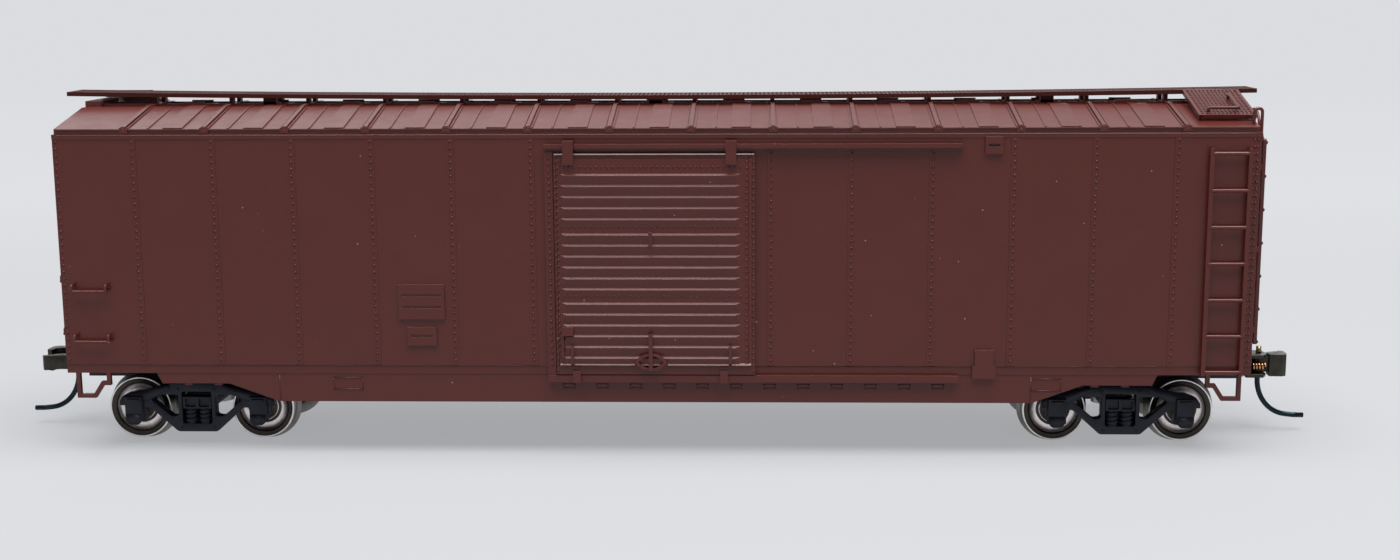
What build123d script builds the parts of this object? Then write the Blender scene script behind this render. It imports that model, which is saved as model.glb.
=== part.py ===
from build123d import *
import os
from math import copysign, cos, hypot, radians, sin, tan

# Scale model freight car: a sliding-door boxcar, 1:87.1, millimetres.
# X runs along the car towards the handbrake end, Y across it, Z up from the lowest point of the flanges.
# The far side is the near side turned half round about Z, and so are the two ends and their ladders.

# Body shell
body_length = 180.0
body_width = 34.7
wall = 1.2
side_bottom = 12.6
side_top = 49.2
sheet_bottom = side_bottom + 1.4     # the side sheets end here, the sill strip shows below them
strip_recess = 0.15
end_recess = 0.2                     # the end sheets lie this far inside the body length
half_length = body_length / 2
half_width = body_width / 2
end_face = half_length - end_recess

# Laps between the side sheets, and the lip along the top
lap_count = 6
lap_inner = 17.4                     # first lap from the middle of the car
lap_from_end = 12.6                  # last lap from the end of the body
lap_width = 1.4
lap_rise = 0.1
lip_height = 0.7
lap_pitch = (half_length - lap_from_end - lap_inner) / (lap_count - 1)

# Fishbelly side sill
sill_thickness = 0.8
sill_recess = 0.25
sill_flat_bottom = 8.2
sill_flat_from_end = 32.6
sill_shelf_bottom = 10.95
sill_shelf_from_end = 25.0
sill_end_from_end = 13.8
sill_corner = 0.8
sill_flat_half = half_length - sill_flat_from_end
sill_shelf_start = half_length - sill_shelf_from_end
sill_shelf_end = half_length - sill_end_from_end

# Placard boards, door stop and rail bracket on the side: x, z, width, height
boards = (
    (-34.9, 23.8, 7.0, 5.35),
    (-34.95, 18.5, 4.5, 2.85),
)
board_slots = (
    (-34.9, 24.8, 6.0, 0.4),
    (-34.9, 23.0, 6.0, 0.4),
    (-34.95, 18.55, 3.3, 0.4),
)
fitting_rise = 0.35
slot_depth = 0.15
stop_width = 3.5
stop_height = 1.9
stop_neck_width = 2.8
stop_neck_height = 2.5
stop_depth = 0.45
catch_width = 2.6
catch_height = 2.6

# Doorway and sliding door
doorway_left = -13.2
doorway_right = 13.8
doorway_top = 45.4
floor_top = 15.8
door_overlap_left = 1.25
door_overlap_right = 1.75
door_over_top = 0.9
door_bottom = side_bottom + 0.15
door_gap = 0.25
door_thickness = 0.7
door_panel_rise = 0.15
door_panel_border = 0.5
door_panel_top = 0.9
door_panel_bottom = 1.3
door_left = doorway_left - door_overlap_left
door_right = doorway_right + door_overlap_right
door_top = doorway_top + door_over_top
door_travel = door_right - door_left + 0.3
door_middle = (door_left + door_right) / 2
post_width = 1.25
post_height = 0.5

# Door ribs: distance of the first ridge below the door's top, number of ribs
door_rib_groups = (
    (3.2, 5),
    (12.15, 6),
    (22.65, 6),
)
door_rib_pitch = 1.66
door_rib_left = 0.85
door_rib_right = 2.15
door_rib_foot = 1.5
door_rib_ridge = 0.08
door_rib_over = 0.2                  # the foot of a rib starts this far above its ridge line
door_rib_rise = 0.3
door_rib_point = 0.8

# Door fittings: x from the door's middle, z from its bottom, width, height, depth
door_fittings = (
    (-0.62, 20.75, 0.5, 2.1, 0.55),
    (-0.70, 3.5, 0.6, 5.6, 0.75),
    (-13.2, 6.75, 1.7, 1.4, 0.6),
    (-14.0, 4.4, 0.35, 3.6, 0.45),
    (-12.55, 3.05, 0.45, 2.7, 0.5),
    (11.3, 3.1, 0.45, 2.7, 0.5),
)
ring_middle = (-0.68, 2.0)
ring_half_width = 2.5
ring_half_height = 1.33
ring_bar = 0.4
ring_depth = 0.5

# Door rails, and the hangers and tabs that hold the door to them
rail_spare = 0.35
top_rail_gap = 0.45
top_rail_height = 0.95
top_rail_depth = 1.0
top_rail_groove = 0.3
bottom_rail_low = side_bottom - 1.1
bottom_rail_high = side_bottom
slide_gap = 0.12
hanger_width = 1.6
hanger_depth = 0.4
hanger_drop = 1.6
hanger_left = 2.25
hanger_right = 3.55
tab_width = 1.2
tab_left = 3.05
tab_right = 4.65
tab_grip = 0.6
top_rail_low = door_top + top_rail_gap
top_rail_high = top_rail_low + top_rail_height
rail_start = door_left - slide_gap - post_width
rail_end = door_right + door_travel + rail_spare

# Ends: pressed sheets with tapered ribs
rib_count = 8
rib_edge = 1.2                       # flat margin above and below the ribs
rib_half_foot = 1.45
rib_half_crest = 0.5
rib_rise = 0.6
rib_from_side = 3.0
rib_point = 5.0
rib_tip_run = 1.0                    # the tip of a rib rises over this length
card_board_width = 5.0
card_board_height = 5.3
card_board_across = 12.6
card_board_middle = 35.25
card_board_depth = 0.25
valley_low = sheet_bottom + rib_edge
rib_pitch = (side_top - valley_low - rib_edge) / rib_count

# Roof
eave_height = side_top + 0.8
ridge_height = eave_height + 2.4
ridge_half = 5.5
roof_end_inset = 0.3
roof_side_inset = 0.2
seam_count = 14
seam_from_end = 10.9
cap_width = 0.6
cap_rise = 0.35
thin_rib_place = 0.29                # along a bay, as a part of the bay
thin_rib_width = 0.25
thin_rib_rise = 0.14
roof_panel_place = 0.49
roof_panel_width = 2.9
roof_panel_rise = 0.18
end_block_length = 2.4
end_block_width = 8.0
end_block_height = 0.9
roof_half = half_length - roof_end_inset
roof_side = half_width - roof_side_inset
first_seam = seam_from_end - half_length
seam_pitch = -2 * first_seam / (seam_count - 1)
roof_fall = (ridge_height - eave_height) / (roof_side - ridge_half)

# Running board and its platforms
board_overhang = 2.9
board_width = 6.2
board_thickness = 0.65
board_lift = 0.9
board_rise = 0.75
saddle_width = 0.6
saddle_inset = 0.5
peg_width = 2.0
peg_place = 60.85
platform_length = 8.5
platform_gap = 0.2
platform_from_side = 2.95
platform_over_eave = 1.55
platform_from_end = 0.1
platform_border = 0.45
platform_slots = 13
platform_bar = 0.22
platform_foot = 0.5
board_half_length = half_length + board_overhang
board_top = ridge_height + board_lift + board_thickness
board_end_top = board_top + board_rise
platform_end = half_length - platform_from_end

# Ladders, grab irons and steps
bar_radius = 0.22
bar_sides = 6
rung_radius = 0.3
stile_width = 0.62
side_stile_depth = 0.45
side_stile_over = 0.65               # the stiles run this far past the end rungs
end_stile_depth = 0.5
end_stile_over = 0.3
ladder_width = 6.25
foot_height = 0.8
side_standoff = 0.55
end_standoff = rib_rise + 0.15
side_ladder_from_end = 4.55
side_rung_low = side_bottom + 0.64
side_rung_pitch = 5.48
side_rung_count = 7
end_ladder_across = 12.9
end_rung_low = side_bottom + 4.85
end_rung_pitch = 5.01
end_rung_count = 7
hoop_out = 0.5                       # outer leg of a hoop, from the end sheet
hoop_reach = 1.15
hoop_drop = 1.4                      # the hoops stay this far below the running board
hoop_bend = 0.7
hoop_foot = 0.4
grab_width = 5.2
grab_standoff = 1.0
grab_drop = 0.95
side_grab_from_end = 4.45
side_grab_feet = (26.4, 18.6)
end_grab_across = 12.6
step_inner_from_end = 6.6
step_outer_from_end = 1.3
step_drop = 3.95
step_bar = 0.6
step_depth = 0.7
step_shoulder = 2.0
step_toe = 2.4

# Handbrake
brake_across = -5.6
brake_wheel_drop = 0.4               # its centre below the top of the sides
brake_wheel_radius = 3.2
brake_rim = 0.45
brake_spoke = 0.35
housing_drop = 2.2
housing_width = 3.4
housing_height = 4.0
housing_depth = 0.9
housing_slope = 0.13
housing_pad = 0.3
hub_length = 0.9
spoke_depth = 0.45
brake_wheel_height = side_top - brake_wheel_drop
housing_middle = side_top - housing_drop

# Underframe, weight and floor
plate_bottom = side_bottom
plate_thickness = 0.8
floor_thickness = 0.8
weight_from_end = 25.0
weight_from_side = 3.15
centre_sill_width = 5.0
centre_sill_drop = 3.2
centre_sill_clear = 14.0             # from the truck centre, clear of the wheels
bearer_drop = 2.0
bearer_width = 1.6
bearer_count = 6
bearer_clear = 23.8
inside_width = body_width - 2 * wall
inside_length = 2 * (end_face - wall)
floor_bottom = floor_top - floor_thickness
weight_bottom = plate_bottom + plate_thickness

# Brake gear under the floor, in the bays between the cross bearers
gear_across = 0.24 * body_width
cylinder_radius = 2.0
cylinder_length = 6.0
cylinder_drop = 2.6
cylinder_back = 2.0                  # from the middle of its bay, to leave room for the rod
rod_length = 7.0
rod_side = 0.7
tank_radius = 2.3
tank_length = 11.0
tank_drop = 2.4
tank_strap = 0.8
valve_length = 3.0
valve_width = 2.6
valve_drop = 3.6
valve_slope = 0.5

# Trucks
truck_from_end = 18.2
axle_half = 9.8
frame_inner = 10.7
frame_thickness = 1.8
chord_top = 9.8
chord_half = 3.9
column_bottom = 2.15
column_half = 3.1
diagonal_top = 6.0
box_half = 1.55
box_top = 8.0
box_bottom = 3.8
box_corner = 1.0
box_depth = 0.7
box_margin = 0.1
box_slope = 0.12
window_outline = ((2.9, 8.1), (7.0, 8.0), (7.2, 7.2), (4.0, 4.5), (2.9, 4.7))
opening_half = 2.35
opening_low = 3.4
opening_high = 8.55
spring_radius = 0.85
spring_place = 1.1
spring_sides = 8
seat_gap = 0.1
truck_bolster_top = 10.1
bolster_end_low = 5.8
bolster_end_high = 7.7
bolster_low = 5.5
bolster_high = 8.0
bolster_half = 2.0
pocket_width = 1.6
pocket_height = 1.3
pocket_place = 1.05
pocket_depth = 0.5
bowl_radius = 3.0
pivot_radius = 1.25
screw_head_radius = 2.2
screw_head_height = 1.0
screw_head_sides = 12
running_gap = 0.06
swivel_gap = 0.1
truck_centre = half_length - truck_from_end
bearer_pitch = 2 * (truck_centre - bearer_clear) / (bearer_count - 1)
frame_outer = frame_inner + frame_thickness
pad_bottom = truck_bolster_top + swivel_gap

# Wheelsets
tread_radius = 4.8
flange_radius = 5.45
flange_width = 0.75
wheel_width = 2.8
wheel_back = 7.25
rim_width = 0.95
plate_recess = 1.0
axle_radius = 1.0
axle_tip = 12.33
axle_point = 30.0                    # half angle of the needle points
tip_gap = 0.12
bearing_sides = 8
bearing_end = 0.1                    # radius of the flat end of a bearing
axle_height = flange_radius
point_length = axle_radius / tan(radians(axle_point))
bearing_depth = axle_tip + tip_gap - frame_inner
bearing_radius = bearing_depth * tan(radians(axle_point)) / cos(radians(180 / bearing_sides))

# Couplers: outlines are measured from the knuckle pin along the car and from the car's middle across it
coupler_height = 10.9
coupler_pivot_from_end = 3.5
coupler_post_radius = 1.0
coupler_eye_radius = 1.9
pocket_inner_from_end = 6.6
pocket_outer_past_end = 2.0
pocket_half_width = 3.7
pocket_wall = 0.55
shank_width = 2.4
shank_height = 2.3
shank_gap = 0.15
knuckle_past_end = 5.7
knuckle_across = -1.15
head_height = 3.7
head_back = 2.4
head_outline = ((-2.4, -3.4), (0.3, -3.4), (0.9, -2.4), (0.9, 0.6), (-2.4, 0.6))
jaw_back = -1.6
jaw_outline = ((-1.6, -3.6), (1.2, -3.6), (1.2, 0.4), (-0.3, 0.0), (-1.6, 0.0))
guard_height = 2.4
guard_outline = (
    (-2.4, 0.4), (0.8, 0.6), (2.4, 1.0), (4.4, 2.2), (3.9, 2.9), (1.8, 1.9), (-1.7, 2.0), (-2.4, 1.6),
)
arm_outline = ((0.0, -1.9), (1.7, -1.9), (1.7, -0.7), (0.6, -0.5))
knuckle_height = 3.5
knuckle_outline = (
    (1.4, -2.6), (3.4, -2.75), (4.1, -2.3), (4.3, -1.4), (4.3, 0.3), (3.5, 0.6), (3.2, -0.8), (2.4, -1.2), (1.4, -0.8),
)
knuckle_hub = 0.9
lug_thickness = 0.6
lug_gap = 0.06
wire_radius = 0.42
wire_sides = 8
wire_hole_gap = 0.05
wire_over = 1.0
wire_bend_top = 8.5
wire_bend_reach = 4.7
wire_bend_low = 2.75
wire_tail = 2.8
wire_steps = 5
knuckle_spring_radius = 0.65
knuckle_spring_length = 2.3
knuckle_spring_across = -3.0
coupler_pivot = half_length - coupler_pivot_from_end
pocket_inner = half_length - pocket_inner_from_end
pocket_outer = half_length + pocket_outer_past_end
knuckle_pin = half_length + knuckle_past_end


def side_plane(turn, out):
    """Upright plane facing out of a side: turn 1 is the near side, -1 the far side."""
    return Plane(origin=(0, -turn * out, 0), x_dir=(turn, 0, 0), z_dir=(0, -turn, 0))


def end_plane(turn, out):
    """Upright plane facing out of an end: turn 1 is the handbrake end, -1 the plain end."""
    return Plane(origin=(turn * out, 0, 0), x_dir=(0, turn, 0), z_dir=(turn, 0, 0))


def level_plane(turn, along, height):
    """Level plane at a place along the car and a height, turned half round for the other end."""
    return Plane(origin=(turn * along, 0, height), x_dir=(turn, 0, 0), z_dir=(0, 0, 1))


def box_outline(plane, middle, size, out):
    """The four corners of a rectangle that lies parallel to a plane, a distance out from it."""
    across, up = middle
    width, height = size
    corners = ((-0.5, -0.5), (0.5, -0.5), (0.5, 0.5), (-0.5, 0.5))
    return [plane.from_local_coords(Vector(across + x * width, up + y * height, out)) for x, y in corners]


def ring_outline(plane, middle, radius, corners, out):
    """The corners of a regular polygon that lies parallel to a plane, a distance out from it."""
    across, up = middle
    turns = [radians(360 * corner / corners) for corner in range(corners)]
    return [plane.from_local_coords(Vector(across + radius * cos(a), up + radius * sin(a), out)) for a in turns]


def flat_sided(foot, crest):
    """Solid with flat faces between two outlines that have as many points and parallel edges."""
    rims = list(zip(foot, crest))
    walls = [
        Face(Wire.make_polygon([low, next_low, next_high, high]))
        for (low, high), (next_low, next_high) in zip(rims, rims[1:] + rims[:1])
    ]
    return Solid(Shell([Face(Wire.make_polygon(foot)), Face(Wire.make_polygon(crest)), *walls]))


def save(piece, label):
    piece.part.label = label
    export_step(piece.part, f"parts/{label}.step")


os.makedirs("parts", exist_ok=True)

sides = (("near", 1), ("far", -1))
ends = (("brake", 1), ("plain", -1))

# Sides: lapped sheets with a doorway, a lip at the top, a sill strip and the fishbelly sill below
doorway_width = doorway_right - doorway_left
doorway_centre = (doorway_right + doorway_left) / 2
doorway_height = doorway_top - floor_top
laps = [way * (lap_inner + lap * lap_pitch) for lap in range(lap_count) for way in (-1, 1)]
railed_laps = [edge for edge in laps if rail_start < edge < rail_end]
open_laps = [edge for edge in laps if edge not in railed_laps]
for side, turn in sides:
    sheet = side_plane(turn, half_width)
    with BuildPart() as body_side:
        with BuildSketch(sheet):
            with Locations((0, (sheet_bottom + side_top) / 2)):
                Rectangle(body_length, side_top - sheet_bottom)
        extrude(amount=-wall)
        with BuildSketch(sheet):
            with Locations((0, side_top - lip_height / 2)):
                Rectangle(body_length, lip_height)
        extrude(amount=lap_rise)
        for lap_edges, lap_top in ((open_laps, side_top - lip_height), (railed_laps, top_rail_low - slide_gap)):
            with BuildSketch(level_plane(turn, 0, sheet_bottom)):
                for edge in lap_edges:
                    with BuildLine():
                        Polyline(
                            (edge, -half_width),
                            (edge, -half_width - lap_rise),
                            (edge + copysign(lap_width, edge), -half_width),
                            close=True,
                        )
                    make_face()
            extrude(amount=lap_top - sheet_bottom)
        with BuildSketch(side_plane(turn, half_width - strip_recess)):
            with Locations((0, (side_bottom + sheet_bottom + strip_recess) / 2)):
                Rectangle(body_length, sheet_bottom + strip_recess - side_bottom)
        extrude(amount=strip_recess - wall)
        with BuildSketch(side_plane(turn, half_width - sill_recess)):
            with BuildLine():
                Polyline(
                    (-sill_shelf_end, sheet_bottom),
                    (-sill_shelf_end, side_bottom),
                    (-sill_shelf_end + sill_corner, sill_shelf_bottom),
                    (-sill_shelf_start, sill_shelf_bottom),
                    (-sill_flat_half, sill_flat_bottom),
                    (sill_flat_half, sill_flat_bottom),
                    (sill_shelf_start, sill_shelf_bottom),
                    (sill_shelf_end - sill_corner, sill_shelf_bottom),
                    (sill_shelf_end, side_bottom),
                    (sill_shelf_end, sheet_bottom),
                    close=True,
                )
            make_face()
        extrude(amount=-sill_thickness)
        with BuildSketch(sheet):
            with Locations((doorway_centre, floor_top + doorway_height / 2)):
                Rectangle(doorway_width, doorway_height)
        extrude(amount=-wall, mode=Mode.SUBTRACT)
        with BuildSketch(sheet):
            with Locations((rail_start + post_width / 2, (side_bottom + top_rail_low - slide_gap) / 2)):
                Rectangle(post_width, top_rail_low - slide_gap - side_bottom)
        extrude(amount=post_height)
        for x, z, width, height in boards:
            with BuildSketch(sheet):
                with Locations((x, z)):
                    Rectangle(width, height)
            extrude(amount=fitting_rise)
        for x, z, width, height in board_slots:
            with BuildSketch(sheet.offset(fitting_rise)):
                with Locations((x, z)):
                    Rectangle(width, height)
            extrude(amount=-slot_depth, mode=Mode.SUBTRACT)
        stop_x = rail_end + rail_spare + slide_gap + stop_width / 2 + 1.6
        with BuildSketch(side_plane(turn, half_width - sill_recess)):
            with Locations((stop_x, sheet_bottom - stop_height / 2)):
                Rectangle(stop_width, stop_height)
            with Locations((stop_x, sheet_bottom + stop_neck_height / 2)):
                Rectangle(stop_neck_width, stop_neck_height)
        extrude(amount=stop_depth + sill_recess)
        with BuildSketch(sheet):
            with Locations((stop_x + 0.8, top_rail_high + 1.0 - catch_height / 2)):
                Rectangle(catch_width, catch_height)
                Rectangle(catch_width - 0.9, 0.4, mode=Mode.SUBTRACT)
        extrude(amount=stop_depth)
    save(body_side, f"side_{side}")

# Doors: pressed ribs on a panel, hangers over the top rail and tabs before the bottom rail
door_width = door_right - door_left
door_height = door_top - door_bottom
door_back = half_width + door_gap
door_face = door_back + door_thickness
hanger_back = half_width + top_rail_depth + slide_gap
hanger_top = top_rail_high + slide_gap
rib_length = door_width - door_rib_left - door_rib_right
rib_middle = door_middle + (door_rib_left - door_rib_right) / 2
for side, turn in sides:
    face_plane = side_plane(turn, door_face)
    border_plane = side_plane(turn, door_face - door_panel_rise)
    with BuildPart() as door:
        with BuildSketch(side_plane(turn, door_back)):
            with Locations((door_middle, door_bottom + door_height / 2)):
                Rectangle(door_width, door_height)
        extrude(amount=door_thickness - door_panel_rise)
        panel_height = door_height - door_panel_top - door_panel_bottom
        with BuildSketch(face_plane):
            with Locations((door_middle, door_bottom + door_panel_bottom + panel_height / 2)):
                Rectangle(door_width - 2 * door_panel_border, panel_height)
        extrude(amount=-door_panel_rise)
        ribs = []
        for first_ridge, count in door_rib_groups:
            for rib in range(count):
                ridge = door_top - first_ridge - rib * door_rib_pitch
                foot_middle = (rib_middle, ridge + door_rib_over - door_rib_foot / 2)
                foot = box_outline(face_plane, foot_middle, (rib_length, door_rib_foot), 0)
                crest_size = (rib_length - 2 * door_rib_point, door_rib_ridge)
                crest = box_outline(face_plane, (rib_middle, ridge - door_rib_over / 2), crest_size, door_rib_rise)
                ribs.append(flat_sided(foot, crest))
        add(ribs)
        for x, z, width, height, depth in door_fittings:
            with BuildSketch(face_plane):
                with Locations((door_middle + x, door_bottom + z)):
                    Rectangle(width, height)
            extrude(amount=depth)
        ring_x = door_middle + ring_middle[0]
        ring_z = door_bottom + ring_middle[1]
        with BuildSketch(face_plane):
            for half_across, half_up, way in (
                (ring_half_width, ring_half_height, Mode.ADD),
                (ring_half_width - 1.5 * ring_bar, ring_half_height - ring_bar, Mode.SUBTRACT),
            ):
                with BuildLine():
                    ThreePointArc(
                        (ring_x - half_across, ring_z), (ring_x, ring_z + half_up), (ring_x + half_across, ring_z)
                    )
                    ThreePointArc(
                        (ring_x + half_across, ring_z), (ring_x, ring_z - half_up), (ring_x - half_across, ring_z)
                    )
                make_face(mode=way)
        extrude(amount=ring_depth)
        for hanger_x in (door_left + hanger_left, door_right - hanger_right):
            with BuildSketch(border_plane):
                with Locations((hanger_x, door_top - hanger_drop / 2)):
                    Rectangle(hanger_width, hanger_drop)
            extrude(amount=hanger_back + hanger_depth - door_face + door_panel_rise)
            with BuildSketch(side_plane(turn, hanger_back)):
                with Locations((hanger_x, (door_top + hanger_top) / 2)):
                    Rectangle(hanger_width, hanger_top - door_top)
            extrude(amount=hanger_depth)
            with BuildSketch(side_plane(turn, half_width + slide_gap)):
                with Locations((hanger_x, hanger_top + hanger_depth / 2)):
                    Rectangle(hanger_width, hanger_depth)
            extrude(amount=hanger_back + hanger_depth - half_width - slide_gap)
        for tab_x in (door_left + tab_left, door_right - tab_right):
            with BuildSketch(border_plane):
                with Locations((tab_x, (door_bottom + tab_grip + bottom_rail_low) / 2)):
                    Rectangle(tab_width, door_bottom + tab_grip - bottom_rail_low)
            extrude(amount=hanger_depth)
    save(door, f"door_{side}")

# Door rails: a grooved one above and a flat one below each door
bottom_rail_face = door_face - door_panel_rise - slide_gap
rail_length = rail_end - rail_start
rail_middle = (rail_start + rail_end) / 2
for side, turn in sides:
    with BuildPart() as top_rail:
        with BuildSketch(side_plane(turn, half_width)):
            with Locations((rail_middle, top_rail_low + top_rail_height / 2)):
                Rectangle(rail_length, top_rail_height)
        extrude(amount=top_rail_depth - top_rail_groove)
        with BuildSketch(side_plane(turn, half_width)):
            with Locations((rail_middle, top_rail_high - top_rail_height / 3)):
                Rectangle(rail_length, 2 * top_rail_height / 3)
        extrude(amount=top_rail_depth)
    save(top_rail, f"door_rail_top_{side}")
    with BuildPart() as bottom_rail:
        with BuildSketch(side_plane(turn, half_width - sill_recess)):
            with Locations((rail_middle, (bottom_rail_low + bottom_rail_high) / 2)):
                Rectangle(rail_length, bottom_rail_high - bottom_rail_low)
        extrude(amount=bottom_rail_face - half_width + sill_recess)
    save(bottom_rail, f"door_rail_bottom_{side}")

# Ends: pressed sheets between the sides, with flat valleys between the tapered ribs
rib_half = half_width - rib_from_side
for end, turn in ends:
    sheet = end_plane(turn, end_face)
    with BuildPart() as body_end:
        with BuildSketch(sheet):
            with BuildLine():
                Polyline(
                    (-half_width + wall, side_bottom),
                    (half_width - wall, side_bottom),
                    (half_width - wall, side_top),
                    (ridge_half, ridge_height - wall),
                    (-ridge_half, ridge_height - wall),
                    (-half_width + wall, side_top),
                    close=True,
                )
            make_face()
        extrude(amount=-wall)
        ribs = []
        for rib in range(rib_count):
            rib_z = valley_low + rib_pitch * (rib + 0.5)
            outlines = []
            for half, tip, out in ((rib_half_foot, rib_half, 0), (rib_half_crest, rib_half - rib_tip_run, rib_rise)):
                shoulder = tip - rib_point * half / rib_half_foot
                hexagon = (
                    (-tip, 0), (-shoulder, -half), (shoulder, -half), (tip, 0), (shoulder, half), (-shoulder, half),
                )
                outlines.append([sheet.from_local_coords(Vector(x, rib_z + z, out)) for x, z in hexagon])
            ribs.append(flat_sided(*outlines))
        add(ribs)
        if end == "brake":
            with BuildSketch(sheet):
                with Locations((brake_across, housing_middle)):
                    Rectangle(housing_width + 2 * housing_pad, housing_height + 2 * housing_pad)
            extrude(amount=rib_rise)
        if end == "plain":
            with BuildSketch(sheet):
                with Locations((card_board_across, card_board_middle)):
                    Rectangle(card_board_width, card_board_height)
            extrude(amount=rib_rise + card_board_depth)
    save(body_end, f"end_{end}")

# Roof: sloping sheets with a cap over every seam, a thin rib and a raised panel in every bay
bays = [first_seam + bay * seam_pitch for bay in range(seam_count - 1)]
seams = bays + [-first_seam]
bands = (
    ([seam - cap_width / 2 for seam in seams], cap_width, cap_rise),
    ([bay + thin_rib_place * seam_pitch for bay in bays], thin_rib_width, thin_rib_rise),
    ([bay + roof_panel_place * seam_pitch for bay in bays], roof_panel_width, roof_panel_rise),
)
with BuildPart() as roof:
    with BuildSketch(Plane.YZ.offset(-roof_half)):
        with BuildLine():
            Polyline(
                (-roof_side, side_top),
                (-roof_side, eave_height),
                (-ridge_half, ridge_height),
                (ridge_half, ridge_height),
                (roof_side, eave_height),
                (roof_side, side_top),
                (half_width - wall, side_top),
                (ridge_half, ridge_height - wall),
                (-ridge_half, ridge_height - wall),
                (-half_width + wall, side_top),
                close=True,
            )
        make_face()
    extrude(amount=2 * roof_half)
    for starts, width, rise in bands:
        for start in starts:
            with BuildSketch(Plane.YZ.offset(start)):
                with BuildLine():
                    Polyline(
                        (-roof_side, eave_height),
                        (-roof_side, eave_height + rise),
                        (-ridge_half, ridge_height + rise),
                        (ridge_half, ridge_height + rise),
                        (roof_side, eave_height + rise),
                        (roof_side, eave_height),
                        (ridge_half, ridge_height),
                        (-ridge_half, ridge_height),
                        close=True,
                    )
                make_face()
        extrude(amount=width)
    with BuildSketch(Plane.XY.offset(ridge_height)):
        with Locations((roof_half - end_block_length / 2, 0), (end_block_length / 2 - roof_half, 0)):
            Rectangle(end_block_length, end_block_width)
    extrude(amount=end_block_height)
save(roof, "roof")

# Running board: a bowed plank on one saddle per roof seam and three thick pegs
board_end_bottom = board_end_top - board_thickness
board_bottom = board_top - board_thickness
with BuildPart() as running_board:
    with BuildSketch(Plane.XZ.offset(-board_width / 2)):
        with BuildLine():
            ThreePointArc((-board_half_length, board_end_top), (0, board_top), (board_half_length, board_end_top))
            Line((board_half_length, board_end_top), (board_half_length, board_end_bottom))
            ThreePointArc(
                (board_half_length, board_end_bottom), (0, board_bottom), (-board_half_length, board_end_bottom)
            )
            Line((-board_half_length, board_end_bottom), (-board_half_length, board_end_top))
        make_face()
    extrude(amount=board_width)
    saddles = [(seam, saddle_width, ridge_height + cap_rise) for seam in seams]
    saddles += [(peg, peg_width, ridge_height + roof_panel_rise) for peg in (-peg_place, 0, peg_place)]
    for x, width, foot in saddles:
        head = board_top - board_thickness / 2 + board_rise * (x / board_half_length) ** 2
        with BuildSketch(Plane.XY.offset(foot)):
            with Locations((x, 0)):
                Rectangle(width, board_width - 2 * saddle_inset)
        extrude(amount=head - foot)
save(running_board, "running_board")

# Roof platforms: a slotted grating at each end on opposite sides, with its bent handrail
inner_across = board_width / 2 + platform_gap
outer_across = half_width - platform_from_side
inner_top = board_end_top - 0.1
outer_top = eave_height + platform_over_eave
platform_fall = inner_top - outer_top
platform_run = outer_across - inner_across
platform_width = hypot(platform_fall, platform_run)
slot_pitch = (platform_length - 2 * platform_border + platform_bar) / platform_slots
for end, turn in ends:
    grating = Plane(
        origin=(
            turn * (platform_end - platform_length / 2),
            -turn * (inner_across + outer_across) / 2,
            (inner_top + outer_top) / 2,
        ),
        x_dir=(turn, 0, 0),
        z_dir=(0, -turn * platform_fall, platform_run),
    )
    rail_x = platform_length / 2 - 1.5
    rail_y = 1.1 - platform_width / 2
    rail_z = 0.6
    with BuildPart() as platform:
        with BuildSketch(grating):
            Rectangle(platform_length, platform_width)
            with GridLocations(slot_pitch, 0, platform_slots, 1):
                Rectangle(slot_pitch - platform_bar, platform_width - 2 * platform_border, mode=Mode.SUBTRACT)
        extrude(amount=-board_thickness)
        foot_across = outer_across - platform_foot / 2 - platform_border
        foot_low = eave_height + (roof_side - foot_across + platform_foot / 2) * roof_fall + 0.03
        with BuildSketch(level_plane(turn, platform_end - platform_length / 2, foot_low)):
            with Locations(
                (platform_foot / 2 - platform_length / 2, -foot_across),
                (platform_length / 2 - platform_foot / 2, -foot_across),
            ):
                Rectangle(platform_foot, platform_foot)
        extrude(amount=outer_top - board_thickness / 2 - foot_low)
        with BuildLine() as rail_path:
            Polyline(
                grating.from_local_coords(Vector(rail_x - 5.0, rail_y, -board_thickness / 2)),
                grating.from_local_coords(Vector(rail_x - 5.0, rail_y, rail_z)),
                grating.from_local_coords(Vector(rail_x, rail_y, rail_z)),
                grating.from_local_coords(Vector(rail_x, rail_y + 6.0, rail_z)),
                grating.from_local_coords(Vector(rail_x, rail_y + 6.0, -board_thickness / 2)),
            )
        with BuildSketch(Plane(origin=rail_path.line @ 0, z_dir=rail_path.line % 0)):
            RegularPolygon(bar_radius, bar_sides)
        sweep(path=rail_path.line, transition=Transition.RIGHT)
    save(platform, f"roof_platform_{end}")

# Ladders: two stiles and their rungs on feet; the end ones run on into a hoop over the roof
side_rungs = (side_rung_low, side_rung_pitch, side_rung_count)
end_rungs = (end_rung_low, end_rung_pitch, end_rung_count)
side_feet = tuple(side_rung_low + side_rung_pitch * rung for rung in (0, 3, 6))
end_feet = tuple(valley_low + rib_pitch * valley for valley in (1, 4, 7))
side_stiles = (side_standoff, side_stile_depth, side_stile_over, side_standoff + side_stile_depth / 2)
end_stiles = (end_standoff, end_stile_depth, end_stile_over, end_standoff + end_stile_depth)
side_ladder_centre = half_length - side_ladder_from_end
ladders = (
    # name, plane of the sheet, centre across, stiles (standoff, depth, overrun, place of the rungs), rungs, feet, hoop
    ("side_ladder_near", side_plane(1, half_width), side_ladder_centre, side_stiles, side_rungs, side_feet, False),
    ("side_ladder_far", side_plane(-1, half_width), side_ladder_centre, side_stiles, side_rungs, side_feet, False),
    ("end_ladder_brake", end_plane(1, end_face), -end_ladder_across, end_stiles, end_rungs, end_feet, True),
    ("end_ladder_plain", end_plane(-1, end_face), -end_ladder_across, end_stiles, end_rungs, end_feet, True),
)
stile_place = (ladder_width - stile_width) / 2
hoop_top = board_top - hoop_drop
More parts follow.
